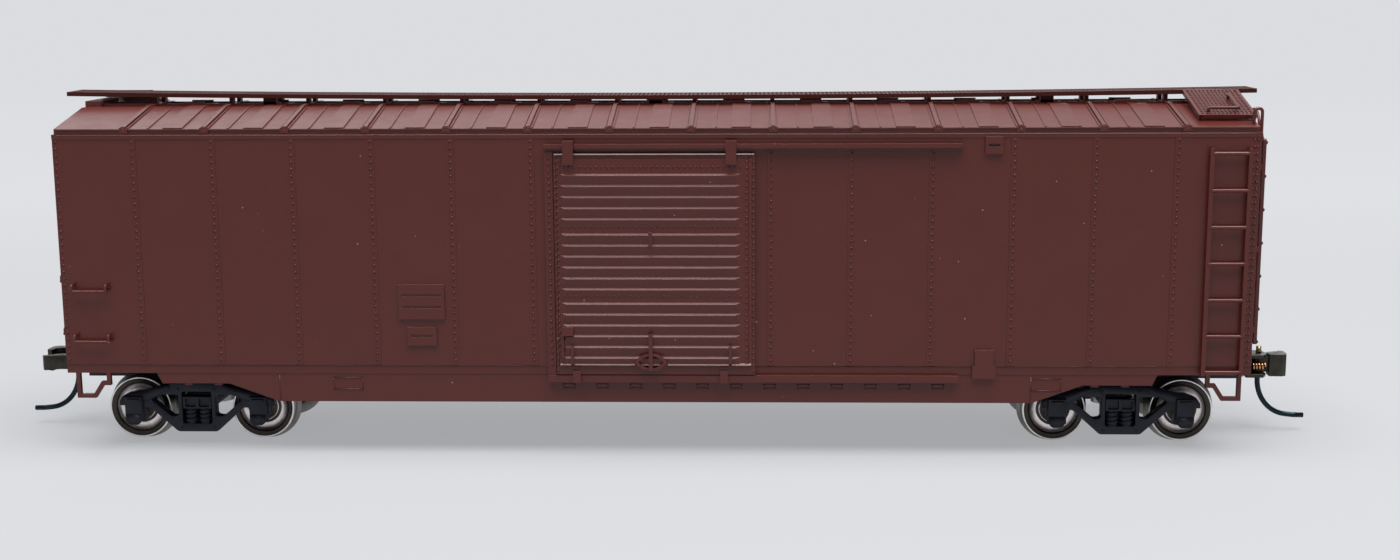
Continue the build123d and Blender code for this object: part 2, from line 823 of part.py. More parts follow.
hoop_line = (
    # height, distance out from the end sheet
    (end_rung_low + end_rung_pitch * (end_rung_count - 1), end_standoff + 0.15),
    (side_top - 0.6, hoop_out),
    (hoop_top - hoop_bend, hoop_out),
    (hoop_top - 0.2, hoop_out - 0.2 * hoop_reach),
    (hoop_top, hoop_out - 0.5 * hoop_reach),
    (hoop_top - 0.2, hoop_out - 0.8 * hoop_reach),
    (hoop_top - hoop_bend, hoop_out - hoop_reach),
    (eave_height + hoop_foot, hoop_out - hoop_reach),
)
for label, sheet, centre, stiles, rungs, feet, hoop in ladders:
    standoff, stile_depth, stile_over, rung_out = stiles
    rung_low, rung_step, rung_count = rungs
    rung_high = rung_low + rung_step * (rung_count - 1)
    stile_middle = (rung_low + rung_high) / 2
    with BuildPart() as ladder:
        with BuildSketch(sheet.offset(standoff)):
            with Locations((centre - stile_place, stile_middle), (centre + stile_place, stile_middle)):
                Rectangle(stile_width, rung_high - rung_low + 2 * stile_over)
        extrude(amount=stile_depth)
        with BuildSketch(sheet):
            for foot_z in feet:
                with Locations((centre - stile_place, foot_z), (centre + stile_place, foot_z)):
                    Rectangle(stile_width, foot_height)
        extrude(amount=standoff)
        for rung in range(rung_count):
            rung_plane = Plane(
                origin=sheet.from_local_coords(Vector(centre - stile_place, rung_low + rung * rung_step, rung_out)),
                x_dir=sheet.z_dir,
                z_dir=sheet.x_dir,
            )
            with BuildSketch(rung_plane):
                RegularPolygon(rung_radius, bar_sides)
        extrude(amount=2 * stile_place)
        if hoop:
            hoop_x = centre - stile_place
            with BuildLine() as hoop_path:
                Polyline(*[sheet.from_local_coords(Vector(hoop_x, height, out)) for height, out in hoop_line])
            with BuildSketch(Plane(origin=hoop_path.line @ 0, z_dir=hoop_path.line % 0)):
                RegularPolygon(bar_radius, bar_sides)
            sweep(path=hoop_path.line, transition=Transition.RIGHT)
    save(ladder, label)

# Grab irons: bent bars with their feet on the sheet, two to a corner
end_grab_feet = tuple(valley_low + rib_pitch * valley for valley in (3, 1))
side_grab_centre = half_length - side_grab_from_end
grab_sets = (
    # name, plane of the sheet, centre across, heights of the feet
    ("side_grabs_near", side_plane(1, half_width), -side_grab_centre, side_grab_feet),
    ("side_grabs_far", side_plane(-1, half_width), -side_grab_centre, side_grab_feet),
    ("end_grabs_brake", end_plane(1, end_face), end_grab_across, end_grab_feet),
    ("end_grabs_plain", end_plane(-1, end_face), end_grab_across, end_grab_feet),
)
for label, sheet, centre, heights in grab_sets:
    left = centre - grab_width / 2
    right = centre + grab_width / 2
    with BuildPart() as grabs:
        for height in heights:
            with BuildLine() as bar_path:
                Polyline(
                    sheet.from_local_coords(Vector(left, height, 0)),
                    sheet.from_local_coords(Vector(left, height, grab_standoff)),
                    sheet.from_local_coords(Vector(left, height - grab_drop, grab_standoff)),
                    sheet.from_local_coords(Vector(right, height - grab_drop, grab_standoff)),
                    sheet.from_local_coords(Vector(right, height, grab_standoff)),
                    sheet.from_local_coords(Vector(right, height, 0)),
                )
            with BuildSketch(Plane(origin=bar_path.line @ 0, z_dir=bar_path.line % 0)):
                RegularPolygon(bar_radius, bar_sides)
            sweep(path=bar_path.line, transition=Transition.RIGHT)
    save(grabs, label)

# Sill steps: flat bars under the corners
step_outer = half_length - step_outer_from_end
step_inner = half_length - step_inner_from_end
step_bottom = side_bottom - step_drop
for side, turn in sides:
    for end, way in ends:
        with BuildPart() as step:
            with BuildSketch(side_plane(turn, half_width - strip_recess)):
                with BuildLine():
                    Polyline(
                        (way * step_outer, side_bottom),
                        (way * step_outer, step_bottom),
                        (way * (step_inner + step_toe), step_bottom),
                        (way * (step_inner + step_toe - 1.3), step_bottom + step_shoulder),
                        (way * step_inner, step_bottom + step_shoulder),
                        (way * step_inner, side_bottom),
                        (way * (step_inner + step_bar), side_bottom),
                        (way * (step_inner + step_bar), step_bottom + step_shoulder + step_bar),
                        (way * (step_inner + step_toe - 0.95), step_bottom + step_shoulder + step_bar),
                        (way * (step_inner + step_toe + 0.35), step_bottom + step_bar),
                        (way * (step_outer - step_bar), step_bottom + step_bar),
                        (way * (step_outer - step_bar), side_bottom),
                        close=True,
                    )
                make_face()
            extrude(amount=-step_depth)
        save(step, f"step_{side}_{'right' if way == 1 else 'left'}")

# Underframe: plate, centre sill, cross bearers and the two body bolsters in one moulding
with BuildPart() as underframe:
    with BuildSketch(Plane.XY.offset(plate_bottom)):
        Rectangle(inside_length, inside_width)
    extrude(amount=plate_thickness)
    with BuildSketch(Plane.XY.offset(plate_bottom)):
        Rectangle(2 * (truck_centre - centre_sill_clear), centre_sill_width)
    extrude(amount=-centre_sill_drop)
    with BuildSketch(Plane.XY.offset(pad_bottom + 0.4)):
        Rectangle(2 * pocket_inner - 0.2, centre_sill_width)
    extrude(amount=plate_bottom - pad_bottom - 0.4)
    with BuildSketch(Plane.XY.offset(plate_bottom)):
        with GridLocations(bearer_pitch, 0, bearer_count, 1):
            Rectangle(bearer_width, inside_width)
    extrude(amount=-bearer_drop)
    with BuildSketch(Plane.XY.offset(pad_bottom)):
        with Locations((-truck_centre, 0), (truck_centre, 0)):
            RegularPolygon(bowl_radius, 8)
    extrude(amount=plate_bottom - pad_bottom)
    with BuildSketch(Plane.XY.offset(pad_bottom + 0.8)):
        with Locations((-truck_centre, 0), (truck_centre, 0)):
            Rectangle(bowl_radius, inside_width)
    extrude(amount=plate_bottom - pad_bottom - 0.8)
    with BuildSketch(Plane.XY.offset(pad_bottom)):
        with Locations((-truck_centre, 0), (truck_centre, 0)):
            Circle(pivot_radius)
    extrude(amount=plate_bottom - pad_bottom, mode=Mode.SUBTRACT)
save(underframe, "underframe")

# Steel weight between the underframe and the floor
with BuildPart() as steel_weight:
    with BuildSketch(Plane.XY.offset(weight_bottom)):
        Rectangle(body_length - 2 * weight_from_end, inside_width - 2 * weight_from_side)
    extrude(amount=floor_bottom - weight_bottom)
save(steel_weight, "steel_weight")

# Load floor
with BuildPart() as load_floor:
    with BuildSketch(Plane.XY.offset(floor_bottom)):
        Rectangle(inside_length, inside_width)
    extrude(amount=floor_thickness)
save(load_floor, "floor")

# Brake gear below the floor: cylinder with its push rod, air tank, control valve
cylinder_x = bearer_pitch - cylinder_back
cylinder_y = -gear_across
cylinder_z = plate_bottom - cylinder_drop
with BuildPart() as brake_cylinder:
    with BuildSketch(Plane.YZ.offset(cylinder_x - cylinder_length / 2)):
        with Locations((cylinder_y, cylinder_z)):
            Circle(cylinder_radius)
    extrude(amount=cylinder_length)
    with BuildSketch(Plane.YZ.offset(cylinder_x + cylinder_length / 2)):
        with Locations((cylinder_y, cylinder_z)):
            Rectangle(rod_side, rod_side)
    extrude(amount=rod_length)
    with BuildSketch(Plane.XY.offset(cylinder_z)):
        with Locations((cylinder_x, cylinder_y)):
            Rectangle(cylinder_length / 2, cylinder_radius)
    extrude(amount=plate_bottom - cylinder_z)
save(brake_cylinder, "brake_cylinder")
tank_y = gear_across
tank_z = plate_bottom - tank_drop
with BuildPart() as air_tank:
    with BuildSketch(Plane.YZ.offset(-tank_length / 2)):
        with Locations((tank_y, tank_z)):
            Circle(tank_radius)
    extrude(amount=tank_length)
    with BuildSketch(Plane.XY.offset(tank_z)):
        with Locations((0, tank_y)):
            with GridLocations(tank_length / 2, 0, 2, 1):
                Rectangle(tank_strap, tank_radius)
    extrude(amount=plate_bottom - tank_z)
save(air_tank, "air_tank")
with BuildPart() as control_valve:
    below = Plane(origin=(-bearer_pitch, -gear_across, plate_bottom), x_dir=(1, 0, 0), z_dir=(0, 0, -1))
    valve_foot = box_outline(below, (0, 0), (valve_length, valve_width), 0)
    valve_end = box_outline(
        below, (0, 0), (valve_length - 2 * valve_slope, valve_width - 2 * valve_slope), valve_drop
    )
    add(flat_sided(valve_foot, valve_end))
save(control_valve, "control_valve")

# Trucks: a bolster on springs in the openings of two side frames, turning on the pivot screw
frame_outline = (
    (chord_half, chord_top),
    (axle_half - box_half, box_top),
    (axle_half + box_half, box_top),
    (axle_half + box_half, box_bottom + box_corner),
    (axle_half + box_half - box_corner, box_bottom),
    (axle_half - box_half, box_bottom),
    (axle_half - box_half, diagonal_top),
    (axle_half - box_half - 0.9, diagonal_top),
    (column_half, column_bottom),
)
frame_left = tuple((-x, z) for x, z in reversed(frame_outline))
opening_middle = (opening_low + opening_high) / 2
screw_bottom = bolster_low - swivel_gap
for truck, turn in ends:
    centre_x = turn * truck_centre
    with BuildPart() as bolster:
        with BuildSketch(level_plane(turn, truck_centre, bolster_low)):
            Rectangle(2 * bolster_half, 2 * frame_inner)
        extrude(amount=bolster_high - bolster_low)
        with BuildSketch(level_plane(turn, truck_centre, bolster_high)):
            RegularPolygon(bowl_radius, 8)
        extrude(amount=truck_bolster_top - bolster_high)
        with BuildSketch(level_plane(turn, truck_centre, bolster_end_low)):
            Rectangle(2 * (opening_half - seat_gap), 2 * (frame_outer - seat_gap))
        extrude(amount=bolster_end_high - bolster_end_low)
        for way in (1, -1):
            pocket_plane = Plane(
                origin=(centre_x, -way * (frame_outer - seat_gap), (bolster_end_low + bolster_end_high) / 2),
                x_dir=(way, 0, 0),
                z_dir=(0, -way, 0),
            )
            with BuildSketch(pocket_plane):
                with GridLocations(2 * pocket_place, 0, 2, 1):
                    Rectangle(pocket_width, pocket_height)
            extrude(amount=-pocket_depth, mode=Mode.SUBTRACT)
        with BuildSketch(level_plane(turn, truck_centre, bolster_low)):
            Circle(pivot_radius + running_gap)
        extrude(amount=truck_bolster_top - bolster_low, mode=Mode.SUBTRACT)
    save(bolster, f"truck_bolster_{truck}")
    with BuildPart() as frames:
        for way in (1, -1):
            frame_plane = Plane(origin=(centre_x, -way * frame_inner, 0), x_dir=(way, 0, 0), z_dir=(0, -way, 0))
            with BuildSketch(frame_plane):
                with BuildLine():
                    Polyline(*frame_outline, *frame_left, close=True)
                make_face()
                for mirrored in (1, -1):
                    with BuildLine():
                        Polyline(*[(mirrored * x, z) for x, z in window_outline], close=True)
                    make_face(mode=Mode.SUBTRACT)
                with Locations((0, opening_middle)):
                    Rectangle(2 * opening_half, opening_high - opening_low, mode=Mode.SUBTRACT)
            extrude(amount=frame_thickness)
            for box_x in (-axle_half, axle_half):
                box_middle = (box_x, (box_top + box_bottom) / 2)
                box_width = 2 * (box_half - box_margin)
                box_height = box_top - box_bottom - 2 * box_margin
                lid_size = (box_width - 2 * box_slope, box_height - 2 * box_slope)
                add(flat_sided(
                    box_outline(frame_plane, box_middle, (box_width, box_height), frame_thickness),
                    box_outline(frame_plane, box_middle, lid_size, frame_thickness + box_depth),
                ))
            with BuildSketch(Plane(origin=(centre_x, -way * (frame_inner + frame_thickness / 2), opening_low))):
                with Locations((-spring_place, 0), (spring_place, 0)):
                    RegularPolygon(spring_radius, spring_sides)
            extrude(amount=bolster_end_low - opening_low)
            for axle_x in (-axle_half, axle_half):
                bearing_mouth = ring_outline(frame_plane, (axle_x, axle_height), bearing_radius, bearing_sides, 0)
                bearing_bottom = ring_outline(
                    frame_plane, (axle_x, axle_height), bearing_end, bearing_sides, bearing_depth
                )
                add(flat_sided(bearing_mouth, bearing_bottom), mode=Mode.SUBTRACT)
    save(frames, f"truck_frames_{truck}")
    with BuildPart() as pivot_screw:
        with BuildSketch(level_plane(turn, truck_centre, screw_bottom - screw_head_height)):
            RegularPolygon(screw_head_radius, screw_head_sides)
        extrude(amount=screw_head_height)
        with BuildSketch(level_plane(turn, truck_centre, screw_bottom)):
            Circle(pivot_radius)
        extrude(amount=plate_bottom - screw_bottom)
    save(pivot_screw, f"pivot_screw_{truck}")

# Wheelsets: a needle-point axle with a pair of flanged wheels pressed on
for number, axle_x in enumerate(
    (truck_centre + axle_half, truck_centre - axle_half, -truck_centre + axle_half, -truck_centre - axle_half), 1
):
    spin = Axis((axle_x, 0, axle_height), (0, 1, 0))
    with BuildPart() as axle:
        with BuildSketch(Plane(origin=(axle_x, 0, axle_height), x_dir=(0, 1, 0), z_dir=(1, 0, 0))):
            with BuildLine():
                Polyline(
                    (-axle_tip, 0),
                    (point_length - axle_tip, axle_radius),
                    (axle_tip - point_length, axle_radius),
                    (axle_tip, 0),
                    close=True,
                )
            make_face()
        revolve(axis=spin)
    save(axle, f"axle_{number}")
    with BuildPart() as wheels:
        for way in (1, -1):
            with BuildSketch(
                Plane(origin=(axle_x, way * wheel_back, axle_height), x_dir=(0, way, 0), z_dir=(-way, 0, 0))
            ):
                with BuildLine():
                    Polyline(
                        (0, axle_radius),
                        (0, flange_radius),
                        (flange_width, tread_radius),
                        (wheel_width, tread_radius),
                        (wheel_width, tread_radius - rim_width),
                        (wheel_width - plate_recess, tread_radius - rim_width),
                        (wheel_width - plate_recess, axle_radius),
                        close=True,
                    )
                make_face()
            revolve(axis=spin)
    save(wheels, f"wheels_{number}")

# Couplers: a box below each end, the shank and head, the knuckle on its trip wire, and the spring
shank_bottom = coupler_height - shank_height / 2
head_bottom = coupler_height - head_height / 2
pocket_height_inside = shank_height + 2 * shank_gap
pocket_floor = coupler_height - pocket_height_inside / 2
pocket_length = pocket_outer - pocket_inner
for end, turn in ends:
    with BuildPart() as coupler_box:
        with BuildSketch(level_plane(turn, pocket_inner + pocket_length / 2, pocket_floor - pocket_wall)):
            Rectangle(pocket_length, 2 * pocket_half_width)
        extrude(amount=plate_bottom - pocket_floor + pocket_wall)
        with BuildSketch(level_plane(turn, pocket_inner + pocket_length / 2 + pocket_wall, pocket_floor)):
            Rectangle(pocket_length, 2 * (pocket_half_width - pocket_wall))
        extrude(amount=pocket_height_inside, mode=Mode.SUBTRACT)
        with BuildSketch(level_plane(turn, coupler_pivot, pocket_floor - pocket_wall / 2)):
            Circle(coupler_post_radius)
        extrude(amount=pocket_height_inside + pocket_wall)
    save(coupler_box, f"coupler_box_{end}")
    shank_length = knuckle_pin - head_back - coupler_pivot + 0.5
    with BuildPart() as coupler:
        with BuildSketch(level_plane(turn, coupler_pivot, shank_bottom)):
            Circle(coupler_eye_radius)
            with Locations((shank_length / 2, 0)):
                Rectangle(shank_length, shank_width)
            Circle(coupler_post_radius + running_gap, mode=Mode.SUBTRACT)
        extrude(amount=shank_height)
        with BuildSketch(level_plane(turn, knuckle_pin, head_bottom)):
            with BuildLine():
                Polyline(*head_outline, close=True)
            make_face()
        extrude(amount=head_height)
        with BuildSketch(level_plane(turn, knuckle_pin, head_bottom + lug_thickness)):
            with BuildLine():
                Polyline(*jaw_outline, close=True)
            make_face()
        extrude(amount=head_height - 2 * lug_thickness, mode=Mode.SUBTRACT)
        with BuildSketch(level_plane(turn, knuckle_pin, coupler_height - guard_height / 2)):
            with BuildLine():
                Polyline(*guard_outline, close=True)
            make_face()
        extrude(amount=guard_height)
        with BuildSketch(level_plane(turn, knuckle_pin, head_bottom)):
            with Locations((0, knuckle_across)):
                RegularPolygon(wire_radius + wire_hole_gap, wire_sides, major_radius=False)
        extrude(amount=head_height, mode=Mode.SUBTRACT)
    save(coupler, f"coupler_{end}")
    with BuildPart() as knuckle:
        with BuildSketch(level_plane(turn, knuckle_pin, head_bottom + lug_thickness + lug_gap)):
            with Locations((0, knuckle_across)):
                RegularPolygon(knuckle_hub, wire_sides)
            with BuildLine():
                Polyline(*arm_outline, close=True)
            make_face()
        extrude(amount=head_height - 2 * lug_thickness - 2 * lug_gap)
        with BuildSketch(level_plane(turn, knuckle_pin, coupler_height - knuckle_height / 2)):
            with BuildLine():
                Polyline(*knuckle_outline, close=True)
            make_face()
        extrude(amount=knuckle_height)
        with BuildSketch(level_plane(turn, knuckle_pin, head_bottom)):
            with Locations((0, knuckle_across)):
                RegularPolygon(wire_radius, wire_sides)
        extrude(amount=head_height, mode=Mode.SUBTRACT)
    save(knuckle, f"knuckle_{end}")
    with BuildPart() as trip_wire:
        wire_top = coupler_height + head_height / 2 + wire_over
        wire_plane = Plane(
            origin=(turn * knuckle_pin, turn * knuckle_across, 0), x_dir=(turn, 0, 0), z_dir=(0, -turn, 0)
        )
        with BuildLine(wire_plane, mode=Mode.PRIVATE) as wire_curve:
            drop = Line((0, wire_top), (0, wire_bend_top))
            bend = TangentArc(drop @ 1, (wire_bend_reach, wire_bend_low), tangent=drop % 1)
        with BuildLine() as wire_path:
            bend_points = [bend @ (step / wire_steps) for step in range(wire_steps + 1)]
            Polyline(drop @ 0, *bend_points, bend @ 1 + (bend % 1) * wire_tail)
        with BuildSketch(level_plane(turn, knuckle_pin, wire_top)):
            with Locations((0, knuckle_across)):
                RegularPolygon(wire_radius, wire_sides)
        sweep(path=wire_path.line, transition=Transition.RIGHT)
    save(trip_wire, f"trip_wire_{end}")
    with BuildPart() as knuckle_spring:
        spring_plane = Plane(
            origin=(turn * (knuckle_pin + jaw_back), turn * knuckle_spring_across, coupler_height),
            x_dir=(0, turn, 0),
            z_dir=(turn, 0, 0),
        )
        with BuildSketch(spring_plane):
            RegularPolygon(knuckle_spring_radius, wire_sides)
        extrude(amount=knuckle_spring_length)
    save(knuckle_spring, f"knuckle_spring_{end}")

# Handbrake: housing and wheel on a pad of the brake end
pad_face = end_face + rib_rise
housing_face = pad_face + housing_depth
with BuildPart() as brake_housing:
    pad = end_plane(1, pad_face)
    lid_size = (housing_width - 2 * housing_slope, housing_height - 2 * housing_slope)
    add(flat_sided(
        box_outline(pad, (brake_across, housing_middle), (housing_width, housing_height), 0),
        box_outline(pad, (brake_across, housing_middle), lid_size, housing_depth),
    ))
save(brake_housing, "brake_housing")
with BuildPart() as brake_wheel:
    with BuildSketch(end_plane(1, housing_face + hub_length - spoke_depth)):
        with Locations((brake_across, brake_wheel_height)):
            Circle(brake_wheel_radius)
            Circle(brake_wheel_radius - brake_rim, mode=Mode.SUBTRACT)
            Rectangle(2 * brake_wheel_radius - brake_rim, brake_spoke)
            Rectangle(brake_spoke, 2 * brake_wheel_radius - brake_rim)
    extrude(amount=spoke_depth)
    with BuildSketch(end_plane(1, housing_face)):
        with Locations((brake_across, brake_wheel_height)):
            RegularPolygon(0.6, 8)
    extrude(amount=hub_length)
save(brake_wheel, "brake_wheel")
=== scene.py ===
import bmesh
import bpy
import numpy as np
from mathutils import Matrix


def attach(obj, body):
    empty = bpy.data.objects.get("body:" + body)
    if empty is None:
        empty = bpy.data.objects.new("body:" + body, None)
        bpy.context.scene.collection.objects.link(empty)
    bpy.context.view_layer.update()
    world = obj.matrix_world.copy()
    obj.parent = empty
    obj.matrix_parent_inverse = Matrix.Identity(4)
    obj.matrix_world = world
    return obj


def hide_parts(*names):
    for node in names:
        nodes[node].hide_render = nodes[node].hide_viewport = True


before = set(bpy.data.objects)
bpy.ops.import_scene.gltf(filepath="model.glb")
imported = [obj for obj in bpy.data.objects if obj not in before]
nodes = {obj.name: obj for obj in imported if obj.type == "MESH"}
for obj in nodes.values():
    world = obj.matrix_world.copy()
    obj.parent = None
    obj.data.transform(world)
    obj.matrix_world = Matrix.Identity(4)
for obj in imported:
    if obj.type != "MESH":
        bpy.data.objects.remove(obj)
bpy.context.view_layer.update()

# Camera
# The photograph was taken with a long lens from in front of the near side,
# a little to the right of the middle and about a hand's breadth above the roof.
camera_data = bpy.data.cameras.new("camera")
camera_data.lens = 44.887
camera_data.sensor_width = 36.0
camera_data.clip_start = 0.01
camera_data.clip_end = 20.0
camera = bpy.data.objects.new("camera", camera_data)
bpy.context.collection.objects.link(camera)
yaw, pitch, roll = np.radians((-1.887, 9.755, -0.289))
ahead = np.array((np.sin(yaw) * np.cos(pitch), np.cos(yaw) * np.cos(pitch), -np.sin(pitch)))
right = np.array((np.cos(yaw), -np.sin(yaw), 0.0))
up = np.cross(right, ahead)
right, up = np.cos(roll) * right + np.sin(roll) * up, np.cos(roll) * up - np.sin(roll) * right
camera.matrix_world = Matrix((
    (right[0], up[0], -ahead[0], 0.01581),
    (right[1], up[1], -ahead[1], -0.27592),
    (right[2], up[2], -ahead[2], 0.07162),
    (0, 0, 0, 1),
))
bpy.context.scene.camera = camera
bpy.context.scene.view_settings.view_transform = "Standard"


# Paper sweep and lamps
# The car stands on a sheet of pale paper that runs up into a backdrop without a line.
# A wide soft lamp hangs above it, one shines over it from behind, a weak one stands in front, and the
# bright room fills in the rest.
def surface(name, points, faces, material, smooth=True):
    """One mesh in its own place from an array of points in millimetres and a list of faces."""
    mesh = bpy.data.meshes.new(name)
    mesh.from_pydata((np.reshape(points, (-1, 3)) * 0.001).tolist(), [], faces)
    mesh.polygons.foreach_set("use_smooth", np.full(len(mesh.polygons), smooth))
    mesh.materials.append(material)
    mesh.update()
    piece = bpy.data.objects.new(name, mesh)
    bpy.context.collection.objects.link(piece)
    return piece


def grid_faces(rows, columns, round_rows=False, round_columns=False):
    """Four-sided faces between neighbouring rows and columns of a grid, joined round where asked."""
    down = np.arange(rows if round_rows else rows - 1)
    over = np.arange(columns if round_columns else columns - 1)
    i, j = np.meshgrid(down, over, indexing="ij")
    n, m = (i + 1) % rows, (j + 1) % columns
    corners = (i * columns + j, i * columns + m, n * columns + m, n * columns + j)
    return np.stack(corners, -1).reshape(-1, 4).tolist()


paper = bpy.data.materials.new("paper")
paper.use_nodes = True
tree = paper.node_tree
shader = tree.nodes["Principled BSDF"]
shader.inputs["Base Color"].default_value = (0.325, 0.33, 0.343, 1)
shader.inputs["Roughness"].default_value = 0.9
shader.inputs["Specular IOR Level"].default_value = 0.1
# seen straight or in a mirror the far sheet glows evenly, and near the car it keeps the shadow
glow = tree.nodes.new("ShaderNodeEmission")
glow.inputs["Color"].default_value = (0.705, 0.718, 0.745, 1)
rays = tree.nodes.new("ShaderNodeLightPath")
seen = tree.nodes.new("ShaderNodeMath")
seen.operation = "MAXIMUM"
tree.links.new(rays.outputs["Is Camera Ray"], seen.inputs[0])
tree.links.new(rays.outputs["Is Glossy Ray"], seen.inputs[1])
place = tree.nodes.new("ShaderNodeTexCoord")
apart = tree.nodes.new("ShaderNodeSeparateXYZ")
tree.links.new(place.outputs["Object"], apart.inputs["Vector"])
# how far off a place is: its y behind the car, and half a metre less than its distance all round
span = tree.nodes.new("ShaderNodeVectorMath")
span.operation = "LENGTH"
tree.links.new(place.outputs["Object"], span.inputs[0])
around = tree.nodes.new("ShaderNodeMath")
around.operation = "SUBTRACT"
tree.links.new(span.outputs["Value"], around.inputs[0])
around.inputs[1].default_value = 0.5
reach = tree.nodes.new("ShaderNodeMath")
reach.operation = "MAXIMUM"
tree.links.new(apart.outputs["Y"], reach.inputs[0])
tree.links.new(around.outputs["Value"], reach.inputs[1])
away = tree.nodes.new("ShaderNodeMapRange")
away.interpolation_type = "SMOOTHSTEP"
away.inputs["From Min"].default_value = 0.0
away.inputs["From Max"].default_value = 0.32
away.inputs["To Min"].default_value = 0.48
away.inputs["To Max"].default_value = 1.0
tree.links.new(reach.outputs["Value"], away.inputs["Value"])
fading = tree.nodes.new("ShaderNodeMapRange")
fading.interpolation_type = "SMOOTHSTEP"
fading.inputs["From Min"].default_value = 0.05
fading.inputs["From Max"].default_value = 1.0
fading.inputs["To Min"].default_value = 1.06
fading.inputs["To Max"].default_value = 1.0
tree.links.new(reach.outputs["Value"], fading.inputs["Value"])
tree.links.new(fading.outputs["Result"], glow.inputs["Strength"])
share = tree.nodes.new("ShaderNodeMath")
share.operation = "MULTIPLY"
tree.links.new(seen.outputs["Value"], share.inputs[0])
tree.links.new(away.outputs["Result"], share.inputs[1])
# the upright part also lights the back of the car
wall = tree.nodes.new("ShaderNodeMapRange")
wall.inputs["From Min"].default_value = 0.6
wall.inputs["From Max"].default_value = 1.2
wall.inputs["To Max"].default_value = 0.8
tree.links.new(apart.outputs["Y"], wall.inputs["Value"])
larger = tree.nodes.new("ShaderNodeMath")
larger.operation = "MAXIMUM"
tree.links.new(share.outputs["Value"], larger.inputs[0])
tree.links.new(wall.outputs["Result"], larger.inputs[1])
blend = tree.nodes.new("ShaderNodeMixShader")
tree.links.new(larger.outputs["Value"], blend.inputs["Fac"])
tree.links.new(shader.outputs["BSDF"], blend.inputs[1])
tree.links.new(glow.outputs["Emission"], blend.inputs[2])
# from below, where no photograph looks, the camera sees through the sheet
under = tree.nodes.new("ShaderNodeNewGeometry")
hidden = tree.nodes.new("ShaderNodeMath")
hidden.operation = "MULTIPLY"
tree.links.new(under.outputs["Backfacing"], hidden.inputs[0])
tree.links.new(rays.outputs["Is Camera Ray"], hidden.inputs[1])
clear = tree.nodes.new("ShaderNodeBsdfTransparent")
open_below = tree.nodes.new("ShaderNodeMixShader")
tree.links.new(hidden.outputs["Value"], open_below.inputs["Fac"])
tree.links.new(blend.outputs["Shader"], open_below.inputs[1])
tree.links.new(clear.outputs["BSDF"], open_below.inputs[2])
tree.links.new(open_below.outputs["Shader"], tree.nodes["Material Output"].inputs["Surface"])
# the line of the sheet from front to back: level, then a quarter round of 700 mm, then upright
bend = np.radians(np.linspace(0, 90, 25))
line_y = np.concatenate(((-2200,), 900 + 700 * np.sin(bend), (1600,)))
line_z = np.concatenate(((0,), 700 - 700 * np.cos(bend), (3000,)))
sheet_points = np.stack([np.stack((np.full(27, x), line_y, line_z), -1) for x in (-3000, 3000)], 1)
sweep = surface("paper_sweep", sheet_points, grid_faces(27, 2), paper)

world = bpy.data.worlds.new("room")
bpy.context.scene.world = world
world.use_nodes = True
tree = world.node_tree
sky = tree.nodes["Background"]
rays = tree.nodes.new("ShaderNodeLightPath")
tint = tree.nodes.new("ShaderNodeMix")
tint.data_type = "RGBA"
tint.inputs["A"].default_value = (0.255, 0.260, 0.266, 1)
tint.inputs["B"].default_value = (0.705, 0.718, 0.745, 1)
tree.links.new(rays.outputs["Is Camera Ray"], tint.inputs["Factor"])
tree.links.new(tint.outputs["Result"], sky.inputs["Color"])
sky.inputs["Strength"].default_value = 1.0


def soft_lamp(name, place, aim, width, height, watts):
    """Flat lamp that faces a point: its own Z axis runs from the point to the lamp."""
    lamp = bpy.data.lights.new(name, "AREA")
    lamp.shape = "RECTANGLE"
    lamp.size = width
    lamp.size_y = height
    lamp.energy = watts
    piece = bpy.data.objects.new(name, lamp)
    bpy.context.collection.objects.link(piece)
    z = np.subtract(place, aim)
    z = z / np.linalg.norm(z)
    x = np.cross((0, 1, 0), z)
    x /= np.linalg.norm(x)
    turned = np.stack((x, np.cross(z, x), z, place), -1)
    piece.matrix_world = Matrix([*turned.tolist(), [0, 0, 0, 1]])


soft_lamp("lamp_above", (0.05, -0.15, 0.68), (0.0, -0.05, 0.03), 0.8, 0.55, 12.0)
soft_lamp("lamp_behind", (0.1, 1.05, 0.30), (0.0, 0.0, 0.05), 1.7, 0.24, 1.25)
soft_lamp("lamp_front", (-0.10, -0.9, 0.75), (0.0, 0.0, 0.02), 0.9, 0.6, 0.6)


